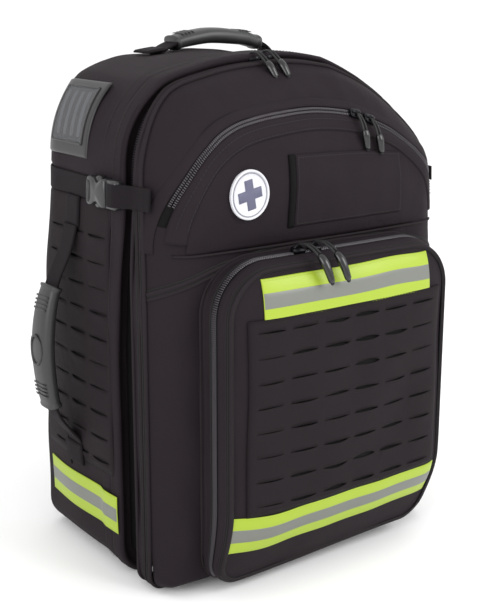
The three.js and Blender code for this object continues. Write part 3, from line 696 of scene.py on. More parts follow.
def moulded(name, ring, levels, to_space, body, mat):
    """A moulded piece built up from one star-shaped loop: each level is (height, scale about the loop's
    middle), and to_space turns flat coordinates and a height into a place. The loop runs anticlockwise seen
    from above."""
    ring = np.asarray(ring, float)
    c = (ring.max(0) + ring.min(0)) / 2
    levels = [(levels[0][0], 0.0), *levels, (levels[-1][0], 0.0)]
    rows = [to_space(c + s * (ring - c), h) for h, s in levels]
    return skin(name, np.array(rows), body, mat, closed=True)


ARM, HALF_ARM = 0.0135, 0.0046
cross = np.array([(HALF_ARM, -ARM), (HALF_ARM, -HALF_ARM), (ARM, -HALF_ARM), (ARM, HALF_ARM),
                  (HALF_ARM, HALF_ARM), (HALF_ARM, ARM), (-HALF_ARM, ARM), (-HALF_ARM, HALF_ARM),
                  (-ARM, HALF_ARM), (-ARM, -HALF_ARM), (-HALF_ARM, -HALF_ARM), (-HALF_ARM, -ARM)])
turn = np.array([[math.cos(0.2), math.sin(0.2)], [-math.sin(0.2), math.cos(0.2)]])
base_y = disc(0, 0.0016)[0, 1]
moulded("badge_cross", cross @ turn, [(0, 1), (0.0006, 1), (0.0009, 0.93)],
        lambda q, h: np.stack([BADGE_X + q[:, 0], np.full(len(q), base_y - h), BADGE_Z + q[:, 1]], 1),
        "upper_flap", SLATE)

# ---- Lower pocket: gusset and zipper --------------------------------------
# A wall of cloth stands out from the lid's face and carries half of a zipper,
# which runs up both sides and over the top; its foot is plain cloth.
POCKET_X, POCKET_HALF, POCKET_LOW, POCKET_HIGH = 0.0015, 0.1395, 0.009, 0.334
COVER_SEAM = -0.1515


def round_rect(half, low, high, top_r, low_r, x=0.0, n=(20, 9, 50, 16, 30)):
    """A rectangle with round corners in X and Z, from its bottom middle round by the right, and back."""
    t, b = max(top_r, 0.001), max(low_r, 0.001)
    a = np.linspace(-math.pi / 2, 0, n[1], endpoint=False)
    c = np.linspace(0, math.pi / 2, n[3], endpoint=False)
    right = np.concatenate([
        np.stack([np.linspace(0, half - b, n[0], endpoint=False), np.full(n[0], low)], 1),
        np.stack([half - b + b * np.cos(a), low + b + b * np.sin(a)], 1),
        np.stack([np.full(n[2], half), np.linspace(low + b, high - t, n[2], endpoint=False)], 1),
        np.stack([half - t + t * np.cos(c), high - t + t * np.sin(c)], 1),
        np.stack([np.linspace(half - t, 0, n[4]), np.full(n[4], high)], 1)])
    return np.concatenate([right, right[-2:0:-1] * [-1, 1]]) + [x, 0]


def pocket_ring(inset, y, top_r=0.052, low_r=0.030):
    ring = round_rect(POCKET_HALF - inset, POCKET_LOW + inset, POCKET_HIGH - inset, top_r - inset,
                      low_r - inset, POCKET_X)
    return np.stack([ring[:, 0], np.broadcast_to(y, len(ring)), np.maximum(ring[:, 1], 0.001)], 1)


root = pocket_ring(0, 0)
root_y = lid_y(root[:, 0], root[:, 2])
GUSSET_PROFILE = [(0.0, 0.004, 0.002), (0.0, -0.0015, 0.0), (0.0, -0.004, -0.0008), (0.2, 0, 0.0),
                  (0.55, 0, 0.0002), (0.8, 0, 0.0002), (0.97, 0, 0.0006), (1.0, 0, 0.0016)]
ZIP_Y = -0.1335
rows = [pocket_ring(i, root_y + k * (ZIP_Y + 0.0045 - root_y) + dy) for k, dy, i in GUSSET_PROFILE]
P = np.array(rows)
P += normals(P, True) * (slack(P, 0.08, 0.0012, 31)
                         * np.array([0, 0, 0, .6, 1, .6, .2, 0])[:, None])[..., None]
P[..., 2] = np.maximum(P[..., 2], 0.001)
gusset = thicken(skin("pocket_gusset", P, "lid", CLOTH, closed=True), 0.002)
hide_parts("pocket_gusset")
sweep("pocket_root_piping", pocket_ring(-0.0006, root_y - 0.0012)[6:-6], (0, 1, 0), circle(0.0016, 8), "lid",
      PIPING)
foot_rows = slice(24, -24)
for half_name, body, lo, hi in (("gusset", "lid", ZIP_Y + 0.0055, ZIP_Y + 0.0003),
                                ("cover", "pocket_cover", ZIP_Y - 0.0003, ZIP_Y - 0.0055)):
    rows = [pocket_ring(0.0012, y)[foot_rows] for y in np.linspace(lo, hi, 3)]
    tape = thicken(skin("pocket_zipper_tape_" + half_name, np.array(rows), body, TAPE_CLOTH),
                   0.0008)
    if body == "lid":
        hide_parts("pocket_zip_tape")
    line = rows[-1 if body == "lid" else 0] + (0, 0.0012 if body == "lid" else -0.0012, 0)
    beads("pocket_zipper_coil_" + half_name, line, line * (1, 0, 1) - (POCKET_X, 0, 0.17),
          (0.0012, 0.0032, 0.0016), TOOTH_PITCH, body, COIL, lift=0.0008)

# Near-black lines along the pocket's root and zipper seams are painted shade in their folds.
for name, ring in (("pocket_root_fold", pocket_ring(-0.0002, root_y + 0.0008)[6:-6]),
                   ("pocket_zip_fold", pocket_ring(0.0004, ZIP_Y + 0.0056)[foot_rows])):
    sweep(name, ring, (0, 1, 0), circle(0.0011, 8), "lid", PAINTED_SEAM_SHADE)

# ---- Lower pocket: cover --------------------------------------------------
# A foam-backed front panel with its own narrow wall and a double piped edge.
# It bulges at the middle and falls away to its piped seam and its foot.
COVER_HALF, COVER_LOW, COVER_HIGH = 0.1345, 0.012, 0.328
COVER_TOP_R, COVER_LOW_R = 0.046, 0.026


def cover_y(x, z, out=0.0):
    """Depth of the cover's face: from its piped seam it rounds over within 26 mm of the edge to a gently
    domed face."""
    ax = np.abs(x - POCKET_X)
    r = np.where(z > 0.17, COVER_TOP_R, COVER_LOW_R)
    dz = np.minimum(z - COVER_LOW, COVER_HIGH - z)
    corner = (ax > COVER_HALF - r) & (dz < r)
    d = np.where(corner, r - np.hypot(ax - COVER_HALF + r, dz - r), np.minimum(COVER_HALF - ax, dz))
    face = -0.1655 + 0.0085 * np.clip(ax / COVER_HALF, 0, 1) ** 2.2
    face = face + 0.008 * (1 - ease(z, 0.0, 0.085)) + 0.003 * ease(z, 0.28, 0.33)
    return COVER_SEAM + (face - COVER_SEAM) * (1 - np.clip(1 - np.maximum(d, 0) / 0.026, 0, 1) ** 2.3) - out


def cover_points(x, z, out=0.0):
    """The cover's face with the slack of its cloth."""
    P = np.stack([x, cover_y(x, z, out), z], -1)
    P[..., 1] += slack(P * (1, 0, 1), 0.10, 0.0013, 41)
    return P


def cover_ring(inset):
    return round_rect(COVER_HALF - inset, COVER_LOW + inset, COVER_HIGH - inset, COVER_TOP_R - inset,
                      COVER_LOW_R - inset, POCKET_X)


rows = []
for y, i in ((ZIP_Y - 0.0046, 0.0030), (ZIP_Y - 0.0046, 0.0008), (ZIP_Y - 0.0054, 0.0001),
             (ZIP_Y - 0.0090, 0.0), (-0.1455, 0.0010), (-0.1480, 0.0026), (-0.1500, 0.0040),
             (-0.1505, 0.0066)):
    rows.append(pocket_ring(i, y))
thicken(skin("cover_wall", np.array(rows), "pocket_cover", BINDING, closed=True), 0.0016)
sweep("cover_piping_front", lay(cover_ring(0.0006), COVER_SEAM - 0.0012), (0, 1, 0), circle(0.0023),
      "pocket_cover", PIPING, closed=True)
sweep("cover_piping_back", lay(cover_ring(-0.0014), COVER_SEAM + 0.0036), (0, 1, 0), circle(0.0018),
      "pocket_cover", PIPING, closed=True)
# Near-black rings round the cover's piping are painted shade in its seam folds.
for k, (out, y) in enumerate(((0.0012, 0.0011), (0.0024, 0.0062), (-0.0022, -0.0018))):
    sweep(f"cover_painted_shade_{k}", lay(cover_ring(-out), COVER_SEAM + y), (0, 1, 0), circle(0.0010, 8),
          "pocket_cover", PAINTED_SEAM_SHADE, closed=True)
rows = [cover_ring(i) for i in (0.0008, 0.002, 0.004, 0.007, 0.010, 0.014, 0.018, 0.022, 0.025)]
middle = np.array([POCKET_X, 0.17])
rows += [middle + k * (rows[-1] - middle) for k in np.linspace(1, 0, 34)[1:]]
XZ = np.array(rows)
P = cover_points(XZ[..., 0], XZ[..., 1])
cover = thicken(skin("pocket_cover", P, "pocket_cover", CLOTH, closed=True,
                     uv=np.concatenate([XZ, XZ[:, :1]], 1)), 0.003)
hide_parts("pocket_cover")
x = np.linspace(-0.11, 0.11, 40)
yy = np.linspace(-0.1500, -0.1200, 9)
X, Y = np.meshgrid(x, yy)
P = np.stack([X, Y, np.full(X.shape, 0.0095)], -1)
fold = thicken(skin("pocket_foot_fold", P, "lid", CLOTH, flip=True), 0.0008)
fold.parent = None
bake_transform(fold)

# ---- Slotted front panel --------------------------------------------------
# Stiff laminate sewn over the cover, laser-cut in a grid of 32 mm slots on
# 38.1 mm columns and 24.5 mm rows. The slots gape unevenly between bar tacks.
LAMINATE = pack_cloth("coated laminate", "#1e191c", thread=0.7, bump=0.2, wrinkle=0.15)
# A near-black sheet under each slotted panel is painted shadow seen through the slits.
SHADOW = material("painted slot shadow", Base_Color=linear("#050505"), Roughness=1.0)[0]


def slotted(name, u_range, v_range, slots, levels, surface, body, mat, seed, step=0.0032, flip=False):
    """A panel with a slit in each slot range at each level. Two grid lines share each level and part in the
    slots by a skewed sine lens, and the lips stand out by their own amounts, fading within 7 mm of the
    slit."""
    rng = np.random.default_rng(seed)
    us = np.unique(np.round(np.concatenate([np.linspace(*u_range, int((u_range[1] - u_range[0]) / step))] + [
        np.linspace(a, b, 11) for a, b, gape in slots]), 6))
    us = us[np.append(True, np.diff(us) > 0.0006)]
    pairs, vs = [], []
    marks = sorted(levels)
    stops = [v_range[0], *marks, v_range[1]]
    for k, (a, b) in enumerate(zip(stops[:-1], stops[1:])):
        vs += list(np.linspace(a, b, max(3, int((b - a) / 0.0038))))
        if k < len(marks):
            pairs.append(len(vs) - 1)
    vs = np.array(vs)
    U, V = np.meshgrid(us, vs)
    up = np.zeros_like(U)
    hem = np.minimum(np.minimum(U - u_range[0], u_range[1] - U), np.minimum(V - v_range[0], v_range[1] - V))
    up += 0.0016 * np.clip(hem / 0.004, 0, 1) ** 0.5
    V2 = V.copy()
    for p in pairs:
        for a, b, gape in slots:
            t = np.clip((us - a) / (b - a), 0, 1)
            lens = np.sin(math.pi * t ** rng.uniform(0.65, 1.5)) ** 0.8 * (t > 0) * (t < 1)
            g = gape * rng.uniform(0.35, 1.25)
            share = rng.uniform(0.2, 0.8)
            V2[p] -= g * share * lens
            V2[p + 1] += g * (1 - share) * lens
            for side, lip in ((-1, rng.uniform(0.0004, 0.0022)), (1, rng.uniform(-0.0002, 0.0010))):
                away = (V - vs[p]) * side
                near = np.exp(-(away / 0.0045) ** 2)
                rows_on = (np.arange(len(vs)) <= p) if side < 0 else (np.arange(len(vs)) > p)
                up += lip * lens[None] * near * rows_on[:, None]
    keep = np.ones((len(vs) - 1, len(us) - 1), bool)
    keep[pairs] = False
    return thicken(skin(name, surface(U, V2, up), body, mat, keep=keep, flip=flip,
                        uv=np.stack([U, V], -1)), 0.0005)


COLUMN, SLOT = 0.0381, 0.032
COLS = [(-2.5 + c) * COLUMN for c in range(6)]
GAPES = (0.0018, 0.0024, 0.0034, 0.0042, 0.0034, 0.0020)
LEVELS = [0.2720 - 0.0245 * r for r in range(8)]
panel = slotted("front_slot_panel", (-0.118, 0.124), (0.0905, 0.284),
                [(x - SLOT / 2, x + SLOT / 2, g) for x, g in zip(COLS, GAPES)], LEVELS,
                lambda x, z, up: cover_points(x, z, up + 0.0016), "pocket_cover", LAMINATE, 51)
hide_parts("front_slot_panel")
# Painted shadow under the front slots.
patch("front_slot_painted_shadow", -0.114, 0.114, 0.094, 0.279,
      lambda x, z, up: cover_points(x, z, up * 0.3 + 0.0004), 0.001, "pocket_cover", SHADOW,
      step=0.006)

# ---- Reflective tapes -----------------------------------------------------
# Fluorescent yellow tape with a silver glass-bead stripe, 40 mm wide, sewn
# across the cover at the top and near the foot and round each side.
# The tape's yellow is its own colour; its emission is a painted glow standing in for its fluorescent
# brightness.
FLUO_PAINTED_GLOW = material("fluorescent tape, painted glow", Base_Color=linear("#94aa26"), Roughness=0.45,
                Emission_Color=linear("#94aa26"), Emission_Strength=0.04)[0]
SILVER = material("glass-bead silver", Base_Color=linear("#70726c"), Roughness=0.42, Metallic=0.25)[0]
TAPE_HIGH = 0.040


def reflective(name, x0, x1, z0, surface, body, nodes, flip=False):
    """Tape with its stripe and its two stitch rows; the stripe lies 0.2 mm proud of the yellow."""
    tape = patch(name, x0, x1, z0, z0 + TAPE_HIGH, surface, 0.0012, body, FLUO_PAINTED_GLOW,
                 step=0.003, edge=0.0005, flip=flip)
    patch(name + "_stripe", x0 + 0.0003, x1 - 0.0003, z0 + 0.0125, z0 + 0.0275, surface, 0.0014, body,
          SILVER, step=0.003, edge=0.0003, flip=flip)
    x = np.linspace(x0 + 0.002, x1 - 0.002, 120)
    for k, dz in enumerate((0.0018, 0.0382)):
        line = surface(x, np.full(120, z0 + dz), 0.0012)
        beads(f"{name}_stitch_{k}", line, (line[60] - surface(x, np.full(120, z0 + dz), -0.01)[60]),
              (0.0026, 0.0006, 0.0003), 0.0040, body, FLUO_PAINTED_GLOW)
    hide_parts(*nodes)


waved = lambda depth, seed: (lambda x, z, up: cover_points(x, z, up + 0.0004) + (
    np.stack([0 * x, 0 * x, slack(np.stack([x, 0 * x, 0 * x], -1), 0.08, depth, seed)], -1)))
reflective("front_tape_top", -0.101, 0.107, 0.281, waved(0.0008, 61), "pocket_cover", ["front_tape_top"])
reflective("front_tape_low", -0.132, 0.128, 0.050, waved(0.0014, 62), "pocket_cover", ["front_tape_low"])

# ---- Side panels ----------------------------------------------------------
# The same slotted laminate on each side wall, three columns wide, and a band
# of reflective tape near the foot that ends at the rim.
def turn_in(x, y, z):
    """How far the wall has turned in toward the back at depth y."""
    r = edge_radius(x, z)
    return r - np.sqrt(np.maximum(r * r - np.maximum(y - BACK_Y + r, 0) ** 2, 0))


def side_surface(g):
    """The rear compartment's side wall at depth y and height z, stood out by up; g is -1 on the left, 1 on
    the right."""
    def place(y, z, up):
        P = np.stack([g * (HALF + wall_swell(y, z) - turn_in(HALF, y, z)), y, z], -1)
        P[..., 0] += g * (slack(P, 0.11, 0.0016, 3) * ease(z, 0.004, 0.05) + up)
        return P
    return place


for side, g, seed in (("left", -1, 71), ("right", 1, 72)):
    wall = side_surface(g)
    panel = slotted("side_slot_panel_" + side, (-0.0285, 0.110), (0.104, 0.380),
                    [(COLUMN * c - 0.023, COLUMN * c - 0.023 + SLOT, 0.0026) for c in range(3)],
                    [0.346 - 0.0254 * r for r in range(10)], lambda y, z, up: wall(y, z, up + 0.0010),
                    "rear_compartment", LAMINATE, seed, flip=g < 0)
    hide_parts("side_slot_panel_" + side)
    # Painted shadow under the side slots.
    patch("side_slot_painted_shadow_" + side, -0.026, 0.106, 0.110, 0.370,
          lambda y, z, up: wall(y, z, up * 0.3 + 0.0003), 0.001, "rear_compartment", SHADOW,
          step=0.006, flip=g < 0)
    reflective("side_tape_" + side, -0.0345, 0.108, 0.046,
               lambda y, z, up: wall(y, z, up + 0.0006 + 0.0028 * (1 - ease(y, -0.012, 0.002))),
               "rear_compartment", ["side_tape_" + side], flip=g < 0)

# ---- Side handles ---------------------------------------------------------
# A 25 mm strap sewn to the slotted panel above and below, bowed out through a
# moulded rubber grip with ribbed ends and an oval boss.
WEBBING = pack_cloth("ribbed webbing", "#1c181b", thread=1.3, bump=0.8, wrinkle=0.0)
WEB, WEB_THICK, HANDLE_Y = 0.025, 0.0028, 0.040
RUBBER = material("moulded grip rubber", Base_Color=linear("#2a2a2b"), Roughness=0.42,
                  Specular_IOR_Level=0.5)[0]


def spline(points, n=60):
    """A smooth line through points, by Catmull-Rom spans of equal count."""
    p = np.asarray(points, float)
    p = np.concatenate([[2 * p[0] - p[1]], p, [2 * p[-1] - p[-2]]])
    m = len(p) - 3
    s = np.linspace(0, m - 1e-9, n)
    k = s.astype(int)
    t = (s - k)[:, None]
    a, b, c, d = p[k], p[k + 1], p[k + 2], p[k + 3]
    return 0.5 * (2 * b + (c - a) * t + (2 * a - 5 * b + 4 * c - d) * t ** 2
                  + (3 * b - a - 3 * c + d) * t ** 3)


def grip(name, line, side, up, width, thick, body, nodes):
    """A moulded grip along a line: a rounded bar that swells at the middle, with a lip and ribs at each
    end."""
    n = len(line)
    t = np.linspace(0, 1, n)
    swell = 0.86 + 0.14 * np.sin(math.pi * t) + 0.10 * (np.abs(t - 0.5) > 0.47)
    a = np.arange(20) * 2 * math.pi / 20
    across = np.sign(np.cos(a)) * np.abs(np.cos(a)) ** 0.7 * width / 2
    high = np.sign(np.sin(a)) * np.abs(np.sin(a)) ** 0.8 * thick / 2
    shape = np.stack([across, high], 1)
    obj = sweep(name, line, side, shape[None] * swell[:, None, None], body, RUBBER)
    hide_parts(*nodes)
    out = np.broadcast_to(np.asarray(up, float), line.shape)
    for k, (a0, b0) in enumerate(((0.07, 0.24), (0.76, 0.93))):
        part = line[int(a0 * n):int(b0 * n)] + out[int(a0 * n):int(b0 * n)] * (thick * 0.46)
        beads(f"{name}_ribs_{k}", part, out[int(a0 * n):int(b0 * n)], (0.0020, width * 0.74, 0.0009), 0.0042,
              body, RUBBER, share=0.8)
    return obj


for side, g in (("left", -1), ("right", 1)):
    body = "side_handle_" + side
    path = [(0.1900, 0.374), (0.1902, 0.360), (0.1920, 0.345), (0.1985, 0.322), (0.2105, 0.297),
            (0.2205, 0.266), (0.2248, 0.229), (0.2225, 0.191), (0.2160, 0.161), (0.2040, 0.142),
            (0.1940, 0.129), (0.1902, 0.118), (0.1900, 0.106)]
    line = spline([(g * x, HANDLE_Y, z) for x, z in path], 110)
    middle = (line[:, 2] < 0.352) & (line[:, 2] > 0.121)
    strap = sweep("side_handle_webbing_" + side, line[middle], (0, 1, 0), strap_section(WEB, WEB_THICK), body,
                  WEBBING)
    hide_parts("side_handle_webbing_" + side)
    held = line[(line[:, 2] < 0.292) & (line[:, 2] > 0.159)]
    grip("side_handle_grip_" + side, spline(held[::4], 60), (0, 1, 0), (g, 0, 0), 0.033, 0.0165, body,
         ["side_handle_grip_" + side])
    a = np.arange(32) * 2 * math.pi / 32
    oval = np.stack([np.full(32, g * 0.2338) - g * 0.0006 * np.sin(a) ** 2 - g * 0.0018 * np.cos(a) ** 2,
                     HANDLE_Y + 0.0105 * np.cos(a), 0.229 + 0.0150 * np.sin(a)], 1)
    sweep("side_grip_boss_" + side, oval, (1, 0, 0), circle(0.0014, 8), body, RUBBER,
          closed=True)
    wall = side_surface(g)
    for name, z0, z1 in (("top", 0.350, 0.379), ("low", 0.100, 0.123)):
        patch(f"side_handle_anchor_{name}_{side}", HANDLE_Y - 0.0135, HANDLE_Y + 0.0135, z0, z1,
              lambda y, z, up: wall(y, z, up + 0.0026), 0.0030, "rear_compartment", WEBBING,
              step=0.003, flip=g < 0)
    tail = spline([(g * x, HANDLE_Y + dy, z) for x, dy, z in (
        (0.1905, 0.016, 0.138), (0.1930, 0.018, 0.120), (0.1915, 0.019, 0.108), (0.1895, 0.019, 0.092))], 24)
    sweep("side_handle_tail_" + side, tail, (0, 1, 0), strap_section(0.0060, 0.0014), "rear_compartment",
          WEBBING)

# ---- Side release buckles -------------------------------------------------
# A 20 mm strap across the zipper on each side, closed by a moulded side-release
# buckle: the waisted female half on the wall and the male half on the lid's strap.
ACETAL = material("moulded acetal", Base_Color=linear("#232325"), Roughness=0.30, Specular_IOR_Level=0.6)[0]
BUCKLE_Z, BUCKLE_SHIFT, SIDE_STRAP = 0.389, -0.026, 0.020  # height, place along the depth, and strap width
for side, g in (("left", -1), ("right", 1)):
    wind = (lambda ring: ring) if g > 0 else (lambda ring: ring[::-1])
    on_wall = lambda base: (lambda q, h: np.stack([np.full(len(q), g * (base + h)), q[:, 0] + BUCKLE_SHIFT,
                                                   BUCKLE_Z + q[:, 1]], 1))
    y = np.linspace(-0.0065, 0.026, 22)
    h = np.interp(y, [-0.0065, -0.0040, 0.0015, 0.0065, 0.0115, 0.0165, 0.0235, 0.026],
                  [0.0115, 0.0130, 0.0112, 0.0086, 0.0086, 0.0118, 0.0130, 0.0118])
    loop = np.concatenate([np.stack([y, -h], 1), np.stack([y, h], 1)[::-1]])
    female = moulded("side_buckle_female_" + side, wind(loop),
                     [(0, 0.97), (0.0010, 1), (0.0095, 1), (0.0115, 0.95), (0.0122, 0.85)],
                     on_wall(0.1846), "rear_compartment", ACETAL)
    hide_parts("side_buckle_female_" + side)
    a = np.arange(20) * 2 * math.pi / 20
    for k, dz in enumerate((-0.0105, 0.0105)):
        button = np.stack([0.0090 + 0.0050 * np.cos(a), dz + 0.0036 * np.sin(a)], 1)
        moulded(f"side_buckle_release_{k}_{side}", wind(button), [(0, 1), (0.0075, 1), (0.0092, 0.8)],
                on_wall(0.1846), "side_release_" + side, ACETAL)
    bar = np.array([(-0.0225, -0.0125), (-0.0080, -0.0125), (-0.0072, -0.0118), (-0.0072, 0.0118),
                    (-0.0080, 0.0125), (-0.0225, 0.0125), (-0.0238, 0.0110), (-0.0238, -0.0110)])
    male = moulded("side_buckle_male_" + side, wind(bar),
                   [(0, 0.96), (0.0010, 1), (0.0080, 1), (0.0095, 0.93)],
                   on_wall(0.1848), "side_release_" + side, ACETAL)
    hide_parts("side_buckle_male_" + side)
    for k, y in enumerate((0.0205, 0.0232)):
        groove = np.array([(y, -0.0095), (y + 0.0012, -0.0095), (y + 0.0012, 0.0095), (y, 0.0095)])
        moulded(f"side_buckle_bar_{k}_{side}", wind(groove), [(0.011, 1), (0.0126, 1), (0.0130, 0.7)],
                on_wall(0.1846), "rear_compartment", ACETAL)
    line = spline([(g * x, y, BUCKLE_Z) for x, y in (
        (0.1795, -0.088), (0.1815, -0.080), (0.1822, -0.072), (0.1840, -0.063), (0.1890, -0.055),
        (0.1945, -0.047), (0.1955, -0.0395))], 40)
    strap = sweep("side_strap_lid_" + side, line, (0, 0, 1), strap_section(SIDE_STRAP, 0.0020),
                  "side_release_" + side, WEBBING)
    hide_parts("side_strap_lid_" + side)
    wall = side_surface(g)
    y = np.linspace(-0.004, 0.112, 34)
    line = wall(y, np.full(34, BUCKLE_Z), 0.0022)
    strap = sweep("side_strap_rear_" + side, line, (0, 0, 1), strap_section(SIDE_STRAP, 0.0022),
                  "rear_compartment", WEBBING)
    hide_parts("side_strap_rear_" + side)

# ---- Name-card window -----------------------------------------------------
# A stitched vinyl frame on the left shoulder with a clear film over a card
# printed with plain stripes.
VINYL = material("grained vinyl", Base_Color=linear("#1f1d1f"), Roughness=0.38, Specular_IOR_Level=0.5)[0]
CARD = material("printed card", Base_Color=linear("#2c2c2e"), Roughness=0.5)[0]
STRIPE = material("pale print", Base_Color=linear("#515256"), Roughness=0.5)[0]
FILM = material("clear vinyl film", Base_Color=linear("#6a6b6f"), Roughness=0.12, IOR=1.45, Alpha=0.16)[0]


def shoulder_points(y, v, up):
    """The left shoulder's surface: v runs up the arc from where it starts, in metres."""
    a = v / SHOULDER
    side_x, crown_z = HALF - SHOULDER, TOP - CROWN
    z0 = crown_z + math.sqrt((CROWN - SHOULDER) ** 2 - side_x ** 2)
    x, z = side_x + SHOULDER * np.cos(a), z0 + SHOULDER * np.sin(a)
    r = SHOULDER + 0.0036 + up - turn_in(x, y, z)
    return np.stack([-(side_x + r * np.cos(a)), y, z0 + r * np.sin(a)], -1)


V0, V1 = 0.004, 0.073
card_frame = patch("card_frame", 0.014, 0.096, V0, V1, shoulder_points, 0.0024, "rear_compartment",
                   VINYL, flip=True)
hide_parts("card_frame")
sunk = lambda y, v, up: shoulder_points(y, v, up + 0.0022)
patch("card", 0.026, 0.084, V0 + 0.012, V1 - 0.010, sunk, 0.0004, "rear_compartment", CARD,
      flip=True)
for k in range(4):
    y0 = 0.031 + 0.0135 * k
    slant = lambda y, v, up: sunk(y + 0.10 * (v - V0 - 0.03), v, up + 0.0004)
    patch(f"card_stripe_{k}", y0, y0 + 0.006, V0 + 0.016, V1 - 0.014, slant, 0.0002, "rear_compartment",
          STRIPE, edge=0.0003, flip=True)
film = patch("card_window", 0.025, 0.085, V0 + 0.011, V1 - 0.009, lambda y, v, up: sunk(y, v, up + 0.0009),
             0.0004, "rear_compartment", FILM, flip=True)
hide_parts("card_window")
edge_line = [(0.0245, V0 + 0.0105), (0.0855, V0 + 0.0105), (0.0855, V1 - 0.0085), (0.0245, V1 - 0.0085)]
for k in range(4):
    (ya, va), (yb, vb) = edge_line[k], edge_line[(k + 1) % 4]
    t = np.linspace(0, 1, 24)
    sweep(f"card_frame_bead_{k}", shoulder_points(ya + t * (yb - ya), va + t * (vb - va), 0.0026),
          (1, 0, 1) if k % 2 == 0 else (0, 1, 0), circle(0.0011, 6), "rear_compartment", VINYL)

# ---- Top handle -----------------------------------------------------------
# The same strap and grip across the crown, held by two stitched patches.
TOP_Y, SHIFT = 0.082, 0.016  # depth of the handle, and how far it sits right of the middle
path = [(-0.0790, 0.5070), (-0.0700, 0.5130), (-0.0580, 0.5185), (-0.0400, 0.5228), (-0.0180, 0.5262),
        (0.0, 0.5272), (0.0180, 0.5268), (0.0400, 0.5256), (0.0580, 0.5235), (0.0700, 0.5160),
        (0.0790, 0.5040)]
line = spline([(x + SHIFT, TOP_Y, z) for x, z in path], 90)
strap = sweep("top_handle_webbing", line, (0, 1, 0), strap_section(WEB, WEB_THICK), "top_handle",
              WEBBING)
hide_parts("top_handle_webbing")
held = line[np.abs(line[:, 0] - SHIFT) < 0.058]
grip("top_handle_grip", spline(held[::5], 60), (0, 1, 0), (0, 0, 1), 0.031, 0.0165, "top_handle",
     ["top_handle_grip"])


def crown_points(x, y, up):
    """The crown's surface by arc from the middle, 2.8 mm out so that a patch clears the slack cloth."""
    r = CROWN + 0.0028 + up
    a = x / CROWN
    return np.stack([r * np.sin(a), y, TOP - CROWN + r * np.cos(a)], -1)


for g, side in ((-1, "left"), (1, "right")):
    x0, x1 = sorted((SHIFT + g * 0.072, SHIFT + g * 0.097))
    patch("top_handle_anchor_" + side, x0, x1, TOP_Y - 0.0145, TOP_Y + 0.0145, crown_points, 0.0030,
          "rear_compartment", WEBBING, step=0.003)

# ---- Zipper sliders and pulls ---------------------------------------------
# Two black-coated sliders on each zipper, each with a bridge that carries a
# doubled cord ending in a moulded grip.
BLACK_METAL = material("black coated zinc", Base_Color=linear("#232326"), Metallic=0.8, Roughness=0.28)[0]
CORD = material("braided cord", Base_Color=linear("#1a1a1c"), Roughness=0.75)[0]
END = material("moulded pull end", Base_Color=linear("#0f0f10"), Roughness=0.22, Specular_IOR_Level=0.6)[0]


def bezier(a, b, c, n=26):
    """A curve from a to c that leaves toward b and arrives from b."""
    t = np.linspace(0, 1, n)[:, None]
    return (1 - t) ** 2 * np.array(a) + 2 * t * (1 - t) * np.array(b) + t ** 2 * np.array(c)


def slider(name, centre, along, up, body):
    """A zipper slider: a pinched body lying along the chain and a bridge over it."""
    c = np.asarray(centre, float)
    A, N = (np.asarray(v, float) / np.linalg.norm(v) for v in (along, up))
    S = np.cross(N, A)
    loop = np.array([(-0.0065, -0.0030), (-0.0045, -0.0044), (0.0020, -0.0048), (0.0055, -0.0054),
                     (0.0068, -0.0036), (0.0068, 0.0036), (0.0055, 0.0054), (0.0020, 0.0048),
                     (-0.0045, 0.0044), (-0.0065, 0.0030)])
    flat = lambda q, h: c + q[:, :1] * A + q[:, 1:] * S + h * N
    made = moulded(name, loop, [(-0.0016, 0.92), (-0.0012, 1), (0.0022, 1), (0.0030, 0.92)], flat, body,
                   BLACK_METAL)
    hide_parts(body)
    bridge = bezier(c - 0.0045 * A + 0.0028 * N, c + 0.0105 * N, c + 0.0045 * A + 0.0028 * N, 14)
    sweep(name + "_bridge", bridge, S, circle(0.0013, 8), body, BLACK_METAL)


def zip_pull(name, line, side, body):
    """A doubled cord along a line that ends in a moulded grip over its last two fifths."""
    n = len(line)
    T = np.gradient(line, axis=0)
    S = np.asarray(side, float)
    S = S - (T * S).sum(1, keepdims=True) / (T * T).sum(1, keepdims=True) * T
    S /= np.linalg.norm(S, axis=1, keepdims=True)
    apart = 0.0021 * np.sin(math.pi * np.linspace(0.02, 0.98, n)) ** 0.5
    loop = np.concatenate([line + S * apart[:, None], (line - S * apart[:, None])[::-1]])
    sweep(name + "_cord", loop, np.cross(T, S).mean(0), circle(0.0012, 8), body, CORD)
    end = line[int(0.56 * n):]
    t = np.linspace(0, 1, len(end))
    size = np.interp(t, [0, 0.08, 0.35, 0.8, 0.95, 1], [0.55, 0.85, 1.0, 0.80, 0.72, 0.45])
    made = sweep(name, end, S[int(0.56 * n):], circle(0.0047, 12, 0.80)[None] * size[:, None, None], body,
                 END)
    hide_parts(name)
    eye = np.array([(math.cos(a), 0, math.sin(a)) for a in np.arange(12) * math.pi / 6])
    sweep(name + "_eye", end[-1] + 0.0016 * eye, (0, 1, 0), circle(0.0007, 6), body,
          BLACK_METAL, closed=True)


